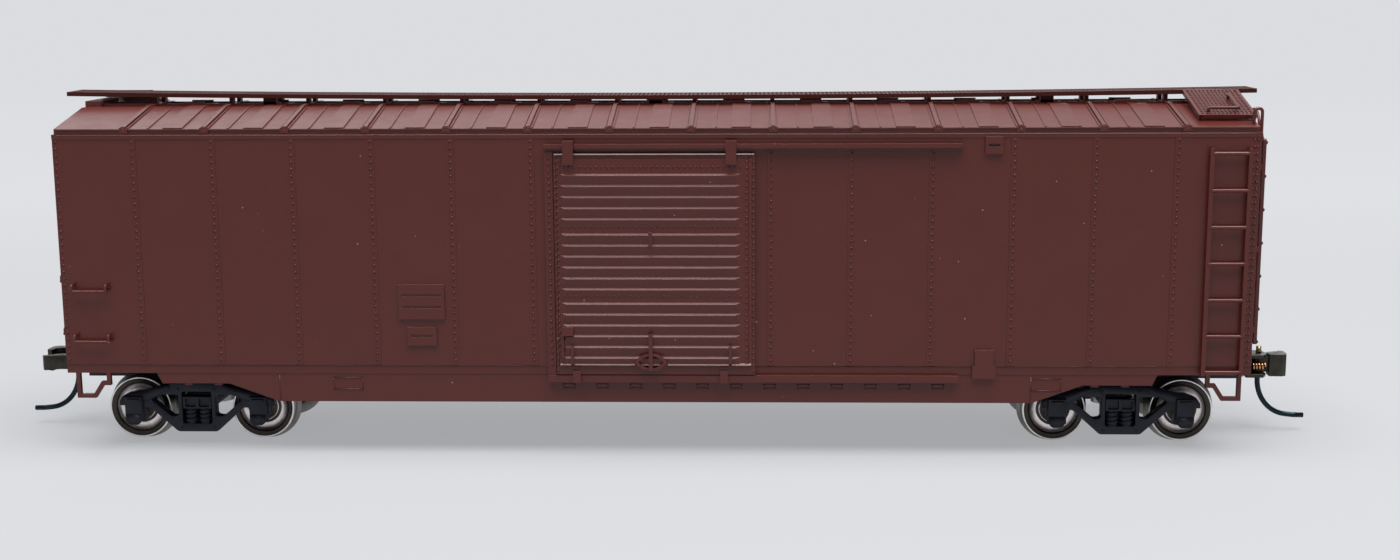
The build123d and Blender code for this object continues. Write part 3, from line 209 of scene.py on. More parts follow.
# Painted body
# Body, doors, roof, ladders and steps are injection-moulded plastic in one brown-red, sprayed with a
# satin coat. It has fine orange peel, faint clouds and grains of dust. Its edges are painted a little
# paler, partly as wear and partly as a painted highlight.
def plastic(name, colour, shine, roughness, clouds, peel, edge, wear_and_highlight=0.0, dust=0.0):
    """Moulded plastic: noise moves colour and gloss and lifts the skin; edges are rounded and painted
    paler, as wear and as a painted highlight.
    """
    material = bpy.data.materials.new(name)
    material.use_nodes = True
    tree = material.node_tree
    shader = tree.nodes["Principled BSDF"]
    shader.inputs["Specular IOR Level"].default_value = shine
    place = tree.nodes.new("ShaderNodeTexCoord")

    def noise(scale, detail):
        pattern = tree.nodes.new("ShaderNodeTexNoise")
        pattern.inputs["Scale"].default_value = scale
        pattern.inputs["Detail"].default_value = detail
        tree.links.new(place.outputs["Object"], pattern.inputs["Vector"])
        return pattern.outputs["Fac"]

    def mix(factor, first, second):
        blend = tree.nodes.new("ShaderNodeMix")
        blend.data_type = "RGBA"
        tree.links.new(factor, blend.inputs["Factor"])
        tree.links.new(first, blend.inputs["A"])
        blend.inputs["B"].default_value = (*second, 1)
        return blend.outputs["Result"]

    cloudy = noise(150.0, 5.0)
    shade = tree.nodes.new("ShaderNodeValToRGB")
    lights = (1 - clouds, 1 + clouds)
    for element, stop, light in zip(shade.color_ramp.elements, (0.3, 0.7), lights):
        element.position = stop
        element.color = (*[c * light for c in colour], 1)
    tree.links.new(cloudy, shade.inputs["Fac"])
    coat = shade.outputs["Color"]
    gloss = tree.nodes.new("ShaderNodeMapRange")
    gloss.inputs["To Min"].default_value = roughness - 0.08
    gloss.inputs["To Max"].default_value = roughness + 0.08
    tree.links.new(noise(420.0, 3.0), gloss.inputs["Value"])
    tree.links.new(gloss.outputs["Result"], shader.inputs["Roughness"])
    rounded = tree.nodes.new("ShaderNodeBevel")
    rounded.samples = 4
    rounded.inputs["Radius"].default_value = edge
    # edges painted paler where the rounded normal bends away: partly worn paint, partly a painted
    # highlight of edges catching the light
    if wear_and_highlight:
        flat = tree.nodes.new("ShaderNodeNewGeometry")
        bent = tree.nodes.new("ShaderNodeVectorMath")
        bent.operation = "DOT_PRODUCT"
        tree.links.new(rounded.outputs["Normal"], bent.inputs[0])
        tree.links.new(flat.outputs["Normal"], bent.inputs[1])
        rubbed_and_highlit = tree.nodes.new("ShaderNodeMapRange")
        rubbed_and_highlit.inputs["From Min"].default_value = 1.0
        rubbed_and_highlit.inputs["From Max"].default_value = 0.8
        rubbed_and_highlit.inputs["To Max"].default_value = wear_and_highlight
        tree.links.new(bent.outputs["Value"], rubbed_and_highlit.inputs["Value"])
        coat = mix(rubbed_and_highlit.outputs["Result"], coat, [min(1.0, c * 1.5 + 0.03) for c in colour])
    if dust:
        grains = tree.nodes.new("ShaderNodeTexVoronoi")
        grains.inputs["Scale"].default_value = 300.0
        tree.links.new(place.outputs["Object"], grains.inputs["Vector"])
        near = tree.nodes.new("ShaderNodeMapRange")
        near.inputs["From Min"].default_value = 0.036
        near.inputs["From Max"].default_value = 0.020
        near.inputs["To Max"].default_value = dust
        tree.links.new(grains.outputs["Distance"], near.inputs["Value"])
        coat = mix(near.outputs["Result"], coat, (0.45, 0.36, 0.33))
    tree.links.new(coat, shader.inputs["Base Color"])
    lift = tree.nodes.new("ShaderNodeBump")
    lift.inputs["Strength"].default_value = peel
    lift.inputs["Distance"].default_value = 0.0001
    tree.links.new(noise(3000.0, 2.0), lift.inputs["Height"])
    tree.links.new(rounded.outputs["Normal"], lift.inputs["Normal"])
    tree.links.new(lift.outputs["Normal"], shader.inputs["Normal"])
    return material


red_paint, under_paint = (0.0790, 0.0132, 0.0094), (0.0150, 0.0105, 0.0105)
body_red = plastic("body_red", red_paint, 0.40, 0.32, 0.035, 0.10, 0.00007, wear_and_highlight=0.4, dust=0.7)
underbody = plastic("underbody", under_paint, 0.30, 0.46, 0.12, 0.20, 0.00006, wear_and_highlight=0.2, dust=0.3)
shell = ("side_", "end_", "door_", "roof", "running_board", "step_", "brake_housing", "brake_wheel")
below = ("floor", "underframe", "brake_cylinder", "air_tank", "control_valve")
for name, node in nodes.items():
    if name.startswith(shell + below):
        node.data.materials.clear()
        node.data.materials.append(underbody if name in below else body_red)


# Rivets and plates of the sides
# Rows of domed rivets follow every lap and corner, and the sill carries two outlined plates and a row
# of small rail brackets. All of it is moulded with the side and painted with it.
def join(*shapes):
    """One shape from several, each an array of points and a list of faces that count its own points."""
    points = [np.reshape(shape[0], (-1, 3)) for shape in shapes]
    starts = np.cumsum([0] + [len(array) for array in points])
    numbered = [(face, int(start)) for shape, start in zip(shapes, starts) for face in shape[1]]
    return np.concatenate(points), [[corner + start for corner in face] for face, start in numbered]


def copies(shape, places):
    """The same shape moved to each place."""
    points, faces = shape
    spread = np.reshape(places, (-1, 1, 3)) + points[None]
    steps = range(0, len(spread) * len(points), len(points))
    return spread, [[corner + step for corner in face] for step in steps for face in faces]


def dome(out, along, radius, height):
    """Low dome: an eight-sided foot, a ring at 0.6 of the radius and 0.8 of the height, and a top."""
    out, along = np.asarray(out, float), np.asarray(along, float)
    angle = np.arange(8)[:, None] * np.pi / 4
    circle = np.cos(angle) * along + np.sin(angle) * np.cross(out, along)
    foot = circle * radius - 0.02 * out
    ring = circle * radius * 0.6 + out * height * 0.8
    turns = [(i, (i + 1) % 8) for i in range(8)]
    faces = [[i, j, j + 8, i + 8] for i, j in turns]
    faces += [[i + 8, j + 8, 16] for i, j in turns] + [list(range(7, -1, -1))]
    return np.concatenate((foot, ring, [out * height])), faces


def plate(outline, thickness, across, upward):
    """Flat plate: an outline drawn across and upward, carried out square to both by the thickness."""
    across, upward = np.asarray(across, float), np.asarray(upward, float)
    foot = np.asarray(outline, float) @ np.stack((across, upward))
    count = len(foot)
    faces = [list(range(count - 1, -1, -1)), list(range(count, 2 * count))]
    faces += [[i, (i + 1) % count, (i + 1) % count + count, i + count] for i in range(count)]
    return np.concatenate((foot, foot + np.cross(across, upward) * thickness)), faces


def bar(path, normal, radius, sides=12):
    """Round bar along a path in one plane: rings square to the path, mitred where it bends."""
    path, normal = np.asarray(path, float), np.asarray(normal, float)
    runs = np.diff(path, axis=0)
    runs /= np.linalg.norm(runs, axis=1)[:, None]
    before, after = np.vstack((runs[:1], runs)), np.vstack((runs, runs[-1:]))
    tangent = before + after
    tangent /= np.linalg.norm(tangent, axis=1)[:, None]
    mitre = 1 / np.sum(tangent * after, axis=1)[:, None]
    second = np.cross(tangent, normal) * mitre
    angle = np.linspace(0, 2 * np.pi, sides, endpoint=False)[None, :, None]
    rings = path[:, None] + radius * (np.cos(angle) * normal + np.sin(angle) * second[:, None])
    last = sides * (len(path) - 1)
    ends = [list(range(sides)), list(range(last + sides - 1, last - 1, -1))]
    return rings, [face[::-1] for face in grid_faces(len(path), sides, round_columns=True)] + ends


def eased(points, radius, steps=5):
    """Path with its corners rounded: each is a parabola between points a radius along its two runs."""
    points = np.asarray(points, float)
    here, back, on = points[1:-1], points[:-2] - points[1:-1], points[2:] - points[1:-1]
    start = here + back * np.minimum(0.5, radius / np.linalg.norm(back, axis=1))[:, None]
    end = here + on * np.minimum(0.5, radius / np.linalg.norm(on, axis=1))[:, None]
    t = np.linspace(0, 1, steps)[None, :, None]
    curve = start[:, None] * (1 - t) ** 2 + 2 * here[:, None] * t * (1 - t) + end[:, None] * t ** 2
    return np.concatenate((points[:1], curve.reshape(-1, 3), points[-1:]))


def oblong(width, height):
    """Outline of a rectangle about its middle."""
    return np.array(((-width, -height), (width, -height), (width, height), (-width, height))) / 2


def row(start, end, pitch):
    """Evenly spaced points from start to end, as near to the pitch as divides the line."""
    start, end = np.asarray(start, float), np.asarray(end, float)
    count = int(round(np.linalg.norm(end - start) / pitch)) + 1
    return start + (end - start) * np.linspace(0, 1, count)[:, None]


def moulding(name, shape, body, material=body_red, smooth=True):
    """New piece from a shape, riding on a body, with the finish that the body has there."""
    piece = surface(name, *shape, material, smooth)
    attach(piece, body)
    return piece


upright = (0, 0, 1)
side_face, lap_face, post_face, sill_face = 17.35, 17.41, 17.85, 17.1
side_low, side_high, under_rail = 14.75, 48.1, 46.2
side_pitch, post_pitch = 1.03, 0.95
lap_rows = 17.95 + 12.0 * np.arange(6)
corner_rows = (-89.5, 89.45, 88.95)
rail_start, rail_end = -17.5, 46.0
# places along the sill, height on it, width and height of the outlined plates and of the brackets
outlines = ((np.array((-46.6, 59.5)), 11.05, 4.4, 1.8), (-2.57 + 5.09 * np.arange(-2, 10), 10.7, 1.7, 0.6))
outline_line, outline_rise = 0.13, 0.1
# half length, distance from the middle of the car, height and thickness of the beads on the side
side_beads = ((89.4, 17.36, 49.05, 0.13), (76.0, 17.2, 13.95, 0.16))
for side, way in (("near", 1), ("far", -1)):
    out, along = (0, -way, 0), (way, 0, 0)
    seat = np.array((way, -way, 1))
    rivet = dome(out, along, 0.24, 0.15)
    rows = []
    for x in np.concatenate((lap_rows, -lap_rows)):
        top = under_rail if rail_start < x < rail_end else side_high
        rows.append(row((x, lap_face, side_low), (x, lap_face, top), side_pitch))
    rows += [row((x, side_face, side_low), (x, side_face, side_high), side_pitch) for x in corner_rows]
    rows.append(row((-15.2, post_face, 14.2), (-15.2, post_face, 45.6), post_pitch))
    parts = [copies(rivet, np.concatenate(rows) * seat)]
    for places, z, width, height in outlines:
        count = len(places)
        middles = np.stack((places, np.full(count, sill_face), np.full(count, z)), -1)
        for shift, drop, long, tall in ((0, 0.5, 1, 0), (0, -0.5, 1, 0), (0.5, 0, 0, 1), (-0.5, 0, 0, 1)):
            line = oblong(long * width + outline_line, tall * height + outline_line)
            edge = middles + (shift * width, 0, drop * height)
            parts.append(copies(plate(line, outline_rise, along, upright), edge * seat))
    sill_seam = plate(oblong(0.14, 3.9), 0.06, along, upright)
    parts.append(copies(sill_seam, [(x, -way * sill_face, 10.4) for x in (-57.2, 57.2)]))
    tab = plate(oblong(1.2, 0.4), 0.5, along, upright)
    tab_y = -way * (sill_face - 0.55)
    parts.append(copies(tab, [(x, tab_y, 10.85) for x in (-71.4, -66.8, 66.8, 71.4)]))
    moulding(f"side_rivets_{side}", join(*parts), "car")
    beads = []
    for half, reach, height, thick in side_beads:
        line = [(x, -way * reach, height) for x in (-half, half)]
        beads.append(bar(line, upright, thick, 4))
    moulding(f"side_beads_{side}", join(*beads), "car", smooth=False)


# Rivets of the doors
# The pressed door panels are riveted to their frames along both edges and between the groups of ribs.
# The rivets slide with the doors.
door_face, door_border, bead_face = 18.3, 18.15, 18.28
edge_pitch, cross_pitch = 0.92, 0.83
# start and end of each bead on the door, and its thickness
door_beads = (
    ((-13.9, 14.25), (15.0, 14.25), 0.3),
    ((-14.3, 46.12), (15.4, 46.12), 0.2),
    ((14.62, 14.4), (14.62, 45.9), 0.1),
    ((-13.42, 14.4), (-13.42, 45.2), 0.1),
)
for side, way in (("near", 1), ("far", -1)):
    seat = np.array((way, -way, 1))
    rows = [row((x, door_face, 14.6), (x, door_face, 45.1), edge_pitch) for x in (-13.9, 14.3)]
    rows += [row((x, door_border, 13.3), (x, door_border, 45.9), edge_pitch) for x in (-14.2, 15.3)]
    rows += [row((-13.0, door_face, z), (13.4, door_face, z), cross_pitch) for z in (44.3, 35.35, 24.8)]
    rivets = copies(dome((0, -way, 0), (way, 0, 0), 0.21, 0.14), np.concatenate(rows) * seat)
    moulding(f"door_rivets_{side}", rivets, f"door_{side}")
    beads = []
    for start, end, thick in door_beads:
        line = [(way * x, -way * bead_face, z) for x, z in (start, end)]
        beads.append(bar(line, (0, -way, 0), thick, 4))
    moulding(f"door_beads_{side}", join(*beads), f"door_{side}", smooth=False)


# Roof gussets
# Each roof cap ends at the eave in a small folded gusset with a bolt, and thin ribs flank the caps.
# A drip strip runs along each eave and a curb beside the running board, all moulded with the roof.
lengthways, crossways = (1, 0, 0), (0, 1, 0)
seams = -79.1 + 158.2 / 13 * np.arange(14)
bays = (seams[1:] + seams[:-1]) / 2
eave_y, eave_z, ridge_y, ridge_z = 17.15, 50.0, 5.5, 52.4
gusset_outline = ((-0.75, 0.0), (0.75, 0.0), (0.42, 0.85), (-0.42, 0.85))
gusset_z, gusset_rise = 49.35, 0.26
drip_strip = plate(oblong(178.6, 0.5), 0.14, lengthways, crossways)
rib_shift, rib_width, rib_rise = 0.62, 0.16, 0.16
curb_y, curb_z = 2.4, 52.3
slope = np.array((0, eave_y - ridge_y, ridge_z - eave_z))
slope_length = np.linalg.norm(slope)
slope /= slope_length
parts = []
for way in (1, -1):
    seat = np.array((way, -way, 1))
    gussets = np.stack((seams, np.full(14, eave_y), np.full(14, gusset_z)), -1)
    parts.append(copies(plate(gusset_outline, gusset_rise, (way, 0, 0), upright), gussets * seat))
    bolt = dome((0, -way, 0), (way, 0, 0), 0.13, 0.09)
    parts.append(copies(bolt, (gussets + (0, gusset_rise, 0.4)) * seat))
    parts.append(copies(drip_strip, [(0, -way * (eave_y - 0.06), 49.83)]))
    middle_y, middle_z = (eave_y + ridge_y) / 2, (eave_z + ridge_z) / 2
    uphill = np.array((0, way * slope[1], slope[2]))
    rib = plate(oblong(rib_width, slope_length), rib_rise, (way, 0, 0), uphill)
    for shift in (-rib_shift, rib_shift):
        places = np.stack((seams + shift, np.full(14, middle_y), np.full(14, middle_z)), -1)
        parts.append(copies(rib, places * seat))
for hand in (1, -1):
    curb = plate(oblong(179.0, 0.3), 0.5, lengthways, crossways)
    parts.append(copies(curb, [(0, hand * curb_y, curb_z)]))
    tie = plate(oblong(3.4, 0.4), 0.75, lengthways, crossways)
    parts.append(copies(tie, [(x, hand * curb_y, curb_z) for x in bays]))
moulding("roof_gussets", join(*parts), "car", smooth=False)


# Running board
# The walkway on the roof is one moulded grating: two edge strips, cross bars at 0.65 mm and five
# lengthways bars, bowed up a little at its ends and carried by saddles on the roof seams.
board_half, board_edge = 92.9, 3.1
board_top, board_rise, board_deep = 53.95, 0.75, 0.65
board_x = np.linspace(-board_half, board_half, 41)
bar_count, bar_deep = 284, 0.45


def bowed(x):
    """Height of the top of the board: its middle plus a rise that grows as the distance squared."""
    return board_top + board_rise * (x / board_half) ** 2


def strip(x, middle, half, top, deep):
    """Long bar of four corners carried along the bow of the board and closed at both ends."""
    corners = ((middle - half, 0), (middle + half, 0), (middle + half, -deep), (middle - half, -deep))
    points = np.stack([np.stack((x, np.full(len(x), y), bowed(x) + top + z), -1) for y, z in corners], 1)
    last = 4 * (len(x) - 1)
    ends = [[3, 2, 1, 0], [last, last + 1, last + 2, last + 3]]
    return points, grid_faces(len(x), 4, round_columns=True) + ends


bar_places = np.linspace(-board_half + 0.45, board_half - 0.45, bar_count)
cross_bars = np.stack((bar_places, np.zeros(bar_count), bowed(bar_places) - 0.03 - bar_deep), -1)
parts = [strip(board_x, hand * (board_edge - 0.16), 0.16, 0, board_deep) for hand in (1, -1)]
parts += [strip(board_x, y, 0.12, -0.08, 0.42) for y in np.linspace(-2.2, 2.2, 7)]
cross_bar = plate(oblong(0.3, 2 * board_edge - 0.3), bar_deep, lengthways, crossways)
parts.append(copies(cross_bar, cross_bars))
end_bar = plate(oblong(0.4, 2 * board_edge - 0.1), board_deep - 0.03, lengthways, crossways)
end_z = bowed(board_half) - board_deep + 0.02
parts.append(copies(end_bar, [(hand * (board_half - 0.2), 0, end_z) for hand in (1, -1)]))
saddles = [(seam, 0.6, 52.75) for seam in seams] + [(peg, 2.0, 52.58) for peg in (-60.85, 0, 60.85)]
for x, width, foot in saddles:
    saddle = plate(oblong(width, 1.2), bowed(x) - 0.4 - foot, lengthways, crossways)
    parts.append(copies(saddle, [(x, y, foot) for y in (-2.0, 2.0)]))
# the board's paint is a darker copy of the body red: painted shade of the grating
board_shaded_red = plastic("board_shaded_red", (0.050, 0.0105, 0.0080), 0.12, 0.52, 0.05, 0.15, 0.00004)
board = moulding("running_board_grating", join(*parts), "car", board_shaded_red, smooth=False)
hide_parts("running_board")


# Roof platforms
# Beside the running board two steel-look platforms slope down to the eave, one at each end. Each is a
# square grating in a border, with two feet and a bent handrail, all one moulding.
platform_x, platform_length, platform_border = 85.65, 8.5, 0.42
border_deep, end_deep, slat_deep = 0.65, 0.64, 0.59
inner_y, outer_y = 3.3, 14.4
inner_z, outer_z = 54.6, 51.55
rail_radius = 0.24
# bent handrail: its two runs, along the platform, uphill and out of it
long_rail = ((-2.6, -4.3, -0.5), (-2.6, -4.3, 0.6), (2.0, -4.3, 0.6))
side_rail = ((1.8, -4.5, 0.6), (1.8, 1.9, 0.6), (1.8, 1.9, -0.5))
platform_width = np.hypot(outer_y - inner_y, inner_z - outer_z)
for end, way in (("brake", 1), ("plain", -1)):
    along = np.array((way, 0.0, 0.0))
    uphill = np.array((0, way * (outer_y - inner_y), inner_z - outer_z)) / platform_width
    out = np.cross(along, uphill)
    middle = np.array((way * platform_x, -way * (inner_y + outer_y) / 2, (inner_z + outer_z) / 2))
    held = np.stack((along, uphill, out))
    parts = []
    inside = platform_length - 2 * platform_border, platform_width - 2 * platform_border
    inside_step = (platform_length - platform_border) / 2, (platform_width - platform_border) / 2
    for count, length, width, step in ((12, inside[0], 0.30, along), (14, inside[1], 0.32, uphill)):
        shares = np.linspace(-0.5, 0.5, count + 2)[1:-1, None]
        places = middle - out * 0.62 + step * (shares * length)
        size = oblong(width, inside[1] + 0.2) if step is along else oblong(inside[0] + 0.2, width)
        parts.append(copies(plate(size, slat_deep, along, uphill), places))
    side_edge = plate(oblong(platform_border, platform_width), border_deep, along, uphill)
    end_edge = plate(oblong(platform_length - 0.1, platform_border), end_deep, along, uphill)
    foot = plate(oblong(0.5, 0.5), 0.6, lengthways, crossways)
    for hand in (1, -1):
        place = middle - out * border_deep + along * hand * inside_step[0]
        parts.append(copies(side_edge, [place]))
        place = middle - out * (end_deep + 0.005) + uphill * hand * inside_step[1]
        parts.append(copies(end_edge, [place]))
        parts.append(copies(foot, [(way * (platform_x + hand * 4.0), -way * 13.7, 50.83)]))
    parts.append(bar(middle + eased(long_rail, 0.4) @ held, -uphill, rail_radius))
    parts.append(bar(middle + eased(side_rail, 0.4) @ held, along, rail_radius))
    platform = moulding(f"roof_platform_{end}_grating", join(*parts), "car", smooth=False)
    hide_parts(f"roof_platform_{end}")


# Ladders
# Each ladder is one moulding of two flat stiles and seven round rungs on short feet. The side ladders
# have round-topped stiles. The end ladders run on into a bent hoop that reaches over the roof.
ladder_reach, stile_width, rung_radius = 2.815, 0.62, 0.29
# centre, standoff, depth, overrun, rung place, lowest rung, pitch, and the heights of the feet
side_form = (85.45, 0.55, 0.45, 0.55, 0.775, 13.24, 5.48, (13.24, 29.68, 46.12))
end_form = (-12.9, 0.75, 0.5, 0.3, 1.25, 17.45, 5.01, (19.3, 31.6, 43.9))
# name, origin on the sheet, along it, out of it
ladders = (
    ("side_ladder_near", (0, -17.35), (1, 0), (0, -1), side_form),
    ("side_ladder_far", (0, 17.35), (-1, 0), (0, 1), side_form),
    ("end_ladder_brake", (89.8, 0), (0, 1), (1, 0), end_form),
    ("end_ladder_plain", (-89.8, 0), (0, -1), (-1, 0), end_form),
)
hoop_line = ((47.4, 0.9), (48.7, 0.5), (52.55, 0.5), (52.55, -0.65), (50.42, -0.65))
high = np.array((0.0, 0.0, 1.0))
for name, origin, along, out, form in ladders:
    centre, standoff, depth, overrun, rung_out, lowest, pitch, foot_heights = form
    origin, along, out = (np.array((*pair, 0.0)) for pair in (origin, along, out))
    rung_heights = lowest + pitch * np.arange(7)
    stile_low, stile_high = lowest - overrun, rung_heights[-1] + overrun
    turn = np.radians(np.linspace(0, 180, 9))[:, None]
    round_top = np.hstack((np.cos(turn), np.sin(turn))) * stile_width / 2 + (0, stile_high)
    stile = np.vstack(((-stile_width / 2, stile_low), (stile_width / 2, stile_low), round_top))
    feet_plate = plate(oblong(stile_width, 0.8), standoff, along, high)
    parts = []
    for hand in (1, -1):
        base = origin + along * (centre + hand * ladder_reach)
        parts.append(copies(plate(stile, depth, along, high), [base + out * standoff]))
        parts.append(copies(feet_plate, [base + high * z for z in foot_heights]))
    stiles = [origin + along * (centre + hand * ladder_reach) for hand in (-1, 1)]
    for height in rung_heights:
        ends = [stile_foot + out * rung_out + high * height for stile_foot in stiles]
        parts.append(bar(ends, out, rung_radius))
    if form is end_form:
        hoop = [stiles[0] + out * reach + high * height for height, reach in hoop_line]
        parts.append(bar(eased(hoop, 0.57), along, rail_radius))
    ladder = moulding(f"{name}_round", join(*parts), "car", smooth=False)
    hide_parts(name)


# Grab irons
# Bent round bars stand on two feet, one above the other beside the ladders' opposite corners. Their
# feet have small bolt flanges. They are moulded in the body colour.
grab_reach, grab_out, grab_drop, grab_radius = 2.6, 1.0, 0.95, 0.23
# name, origin on the sheet, along it, out of it, centre, heights of the feet
grab_sets = (
    ("side_grabs_near", (0, -17.35), (1, 0), (0, -1), -85.55, (26.4, 18.6)),
    ("side_grabs_far", (0, 17.35), (-1, 0), (0, 1), -85.55, (26.4, 18.6)),
    ("end_grabs_brake", (89.8, 0), (0, 1), (1, 0), 12.6, (27.5, 19.3)),
    ("end_grabs_plain", (-89.8, 0), (0, -1), (-1, 0), 12.6, (27.5, 19.3)),
)
for name, origin, along, out, centre, heights in grab_sets:
    origin, along, out = (np.array((*pair, 0.0)) for pair in (origin, along, out))
    flange = plate(oblong(0.8, 1.0), 0.12, along, high)
    parts = []
    for height in heights:
        for hand in (1, -1):
            foot = origin + along * (centre + hand * grab_reach) + high * height
            leg = [foot, foot + out * grab_out, foot + out * grab_out - high * grab_drop]
            parts.append(bar(eased(leg, 0.4), along, grab_radius))
            parts.append(copies(flange, [foot]))
        middle = origin + along * centre + out * grab_out + high * (height - grab_drop)
        rail = [middle + along * hand * (grab_reach + 0.22) for hand in (-1, 1)]
        parts.append(bar(rail, out, grab_radius))
    grabs = moulding(f"{name}_round", join(*parts), "car", smooth=False)
    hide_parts(name)


# Handbrake
# The wheel on the end is a round rim on four spokes and a hub, with a chain housing below it.
# Both are moulded in the body colour.
wheel_x, wheel_y, wheel_z = 92.0, -5.6, 48.8
rim_radius, rim_thick, spoke_thick = 2.95, 0.22, 0.17
turn = np.linspace(0, 2 * np.pi, 48, endpoint=False)
turn_small = np.linspace(0, 2 * np.pi, 10, endpoint=False)
reach = rim_radius + rim_thick * np.cos(turn_small)[None]
rim = np.stack((
    wheel_x - 0.02 + np.repeat(rim_thick * np.sin(turn_small)[None], 48, 0),
    wheel_y + reach * np.cos(turn)[:, None],
    wheel_z + reach * np.sin(turn)[:, None],
), -1)
parts = [(rim, grid_faces(48, 10, True, True))]
hub = np.array((wheel_x - 0.15, wheel_y, wheel_z))
for angle in np.radians((0, 90, 180, 270)):
    spoke = np.array((0, np.cos(angle), np.sin(angle)))
    line = [hub + spoke * 0.3, hub + spoke * 1.4 + (0.08, 0, 0), hub + spoke * rim_radius + (0.13, 0, 0)]
    parts.append(bar(line, np.cross(spoke, lengthways), spoke_thick))
for start, end, radius, sides in ((91.3, 92.1, 0.55, 16), (92.1, 92.2, 0.25, 12)):
    parts.append(bar([(start, wheel_y, wheel_z), (end, wheel_y, wheel_z)], crossways, radius, sides))
brake_wheel = moulding("brake_wheel_round", join(*parts), "car")
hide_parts("brake_wheel")


# Trucks
# Side frames and bolster are cast-steel shapes moulded in bare black plastic with a bluish cast, edges
# softened by the mould. Two coil springs stand under each end of the bolster.
def softened(name, material, body, width, segments=2, corners=()):
    """Copy of a CAD node that stands for it, its edges rounded and its chosen corners rounded more."""
    mesh = nodes[name].data.copy()
    work = bmesh.new()
    work.from_mesh(mesh)
    bmesh.ops.remove_doubles(work, verts=work.verts, dist=1e-6)
    bmesh.ops.dissolve_limit(work, angle_limit=0.02, verts=work.verts, edges=work.edges)
    bmesh.ops.recalc_face_normals(work, faces=work.faces)
    for start, end, radius in corners:
        low, high = np.minimum(start, end) * 0.001, np.maximum(start, end) * 0.001
        chosen = []
        for edge in work.edges:
            ends = np.array([corner.co for corner in edge.verts])
            run = np.abs(ends[1] - ends[0])
            level = run[1] > 0.0002 and run[1] > 5 * (run[0] + run[2])
            if level and (ends > low).all() and (ends < high).all() and edge.calc_face_angle(0) > 0.4:
                chosen.append(edge)
        rounding = {"segments": 5, "profile": 0.5, "affect": "EDGES", "clamp_overlap": True}
        bmesh.ops.bevel(work, geom=chosen, offset=radius * 0.001, **rounding)
    work.to_mesh(mesh)
    work.free()
    mesh.materials.clear()
    mesh.materials.append(material)
    mesh.polygons.foreach_set("material_index", np.zeros(len(mesh.polygons), int))
    mesh.polygons.foreach_set("use_smooth", np.ones(len(mesh.polygons), bool))
    piece = bpy.data.objects.new(f"{name}_soft", mesh)
    bpy.context.collection.objects.link(piece)
    edges = piece.modifiers.new("edges", "BEVEL")
    edges.width = width * 0.001
    edges.segments = segments
    edges.limit_method = "ANGLE"
    edges.angle_limit = 0.6
    edges.harden_normals = True
    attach(piece, body)
    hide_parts(name)
    return piece


def coil(foot, radius, wire, turns, height, sides=8, per_turn=20):
    """Upright coil spring: rings square to a helix of so many turns over its height, ends closed."""
    angle = np.linspace(0, 2 * np.pi * turns, int(turns * per_turn) + 1)
    outward = np.stack((np.cos(angle), np.sin(angle), np.zeros_like(angle)), -1)
    path = np.asarray(foot, float) + radius * outward
    path[:, 2] += height * angle / angle[-1]
    climb = np.full_like(angle, height / angle[-1])
    tangent = np.stack((-np.sin(angle) * radius, np.cos(angle) * radius, climb), -1)
    tangent /= np.linalg.norm(tangent, axis=1)[:, None]
    second = np.cross(tangent, outward)
    b = np.linspace(0, 2 * np.pi, sides, endpoint=False)[None, :, None]
    rings = path[:, None] + wire * (np.cos(b) * outward[:, None] + np.sin(b) * second[:, None])
    last = sides * (len(angle) - 1)
    ends = [list(range(sides - 1, -1, -1)), list(range(last, last + sides))]
    return rings, grid_faces(len(angle), sides, round_columns=True) + ends


black_plastic = (0.0110, 0.0132, 0.0215)
truck_black = plastic("truck_black", black_plastic, 0.30, 0.44, 0.08, 0.16, 0.00005, wear_and_highlight=0.2, dust=0.25)
truck_x, axle_z = 71.8, 5.45
spring_y, seat_y, bolt_y, lid_y, arm_y = 11.6, 10.72, 12.5, 13.15, 11.3
bolt_places = ((-2.85, 8.9), (2.85, 8.9), (-2.6, 2.75), (2.6, 2.75))
lid = (
    (-1.2, 0.85), (-1.2, -0.1), (-1.0, -0.5), (-0.6, -0.75),
    (0.6, -0.75), (1.0, -0.5), (1.2, -0.1), (1.2, 0.85),
)
frame_arm = np.array((
    (-5.6, 4.3), (-1.9, 3.3), (0.9, 2.85), (1.8, 2.4), (2.3, 1.7),
    (2.4, 0.9), (0.6, 0.9), (-2.2, 1.7), (-5.6, 3.4),
))
for end, way in (("brake", 1), ("plain", -1)):
    truck = f"truck_{end}"
    middle = way * truck_x
    boxes = [((middle + hand * 8.2, -14, 2.0), (middle + hand * 12, 14, 9.0), 0.75) for hand in (1, -1)]
    rest = [((middle - 8.0, -14, 1.5), (middle + 8.0, 14, 10.5), 0.32)]
    softened(f"truck_frames_{end}", truck_black, truck, 0.12, corners=boxes + rest)
    softened(f"truck_bolster_{end}", truck_black, truck, 0.10)
    nodes[f"coupler_box_{end}"].data.materials.clear()
    nodes[f"coupler_box_{end}"].data.materials.append(truck_black)
    parts = []
    for hand in (1, -1):
        for spring in (-1.1, 1.1):
            foot = (middle + spring, hand * spring_y, 3.5)
            parts.append(coil(foot, 0.80, 0.27, 3.2, 2.2))
        across = np.array((-hand, 0, 0))
        spring_plate = plate(oblong(4.9, 2.6), 0.2, across, upright)
        parts.append(copies(spring_plate, [(middle, hand * seat_y, 4.6)]))
        bolt = dome((0, hand, 0), across, 0.22, 0.16)
        parts.append(copies(bolt, [(middle + x, hand * bolt_y, z) for x, z in bolt_places]))
        for box in (-9.8, 9.8):
            spot = (middle + box, hand * lid_y, 4.15)
            parts.append(copies(plate(lid, 0.25, across, upright), [spot]))
            arm = frame_arm[::-1] if box * hand < 0 else frame_arm * (-1, 1)
            parts.append(copies(plate(arm, 1.3, across, upright), [(middle + box, hand * arm_y, axle_z)]))
            pin = np.array(spot) + (0, hand * 0.05, 3.2)
            parts.append(bar([pin + across * 0.9, pin - across * 0.9], upright, 0.25, 10))
    moulding(f"truck_springs_{end}", join(*parts), truck, truck_black)


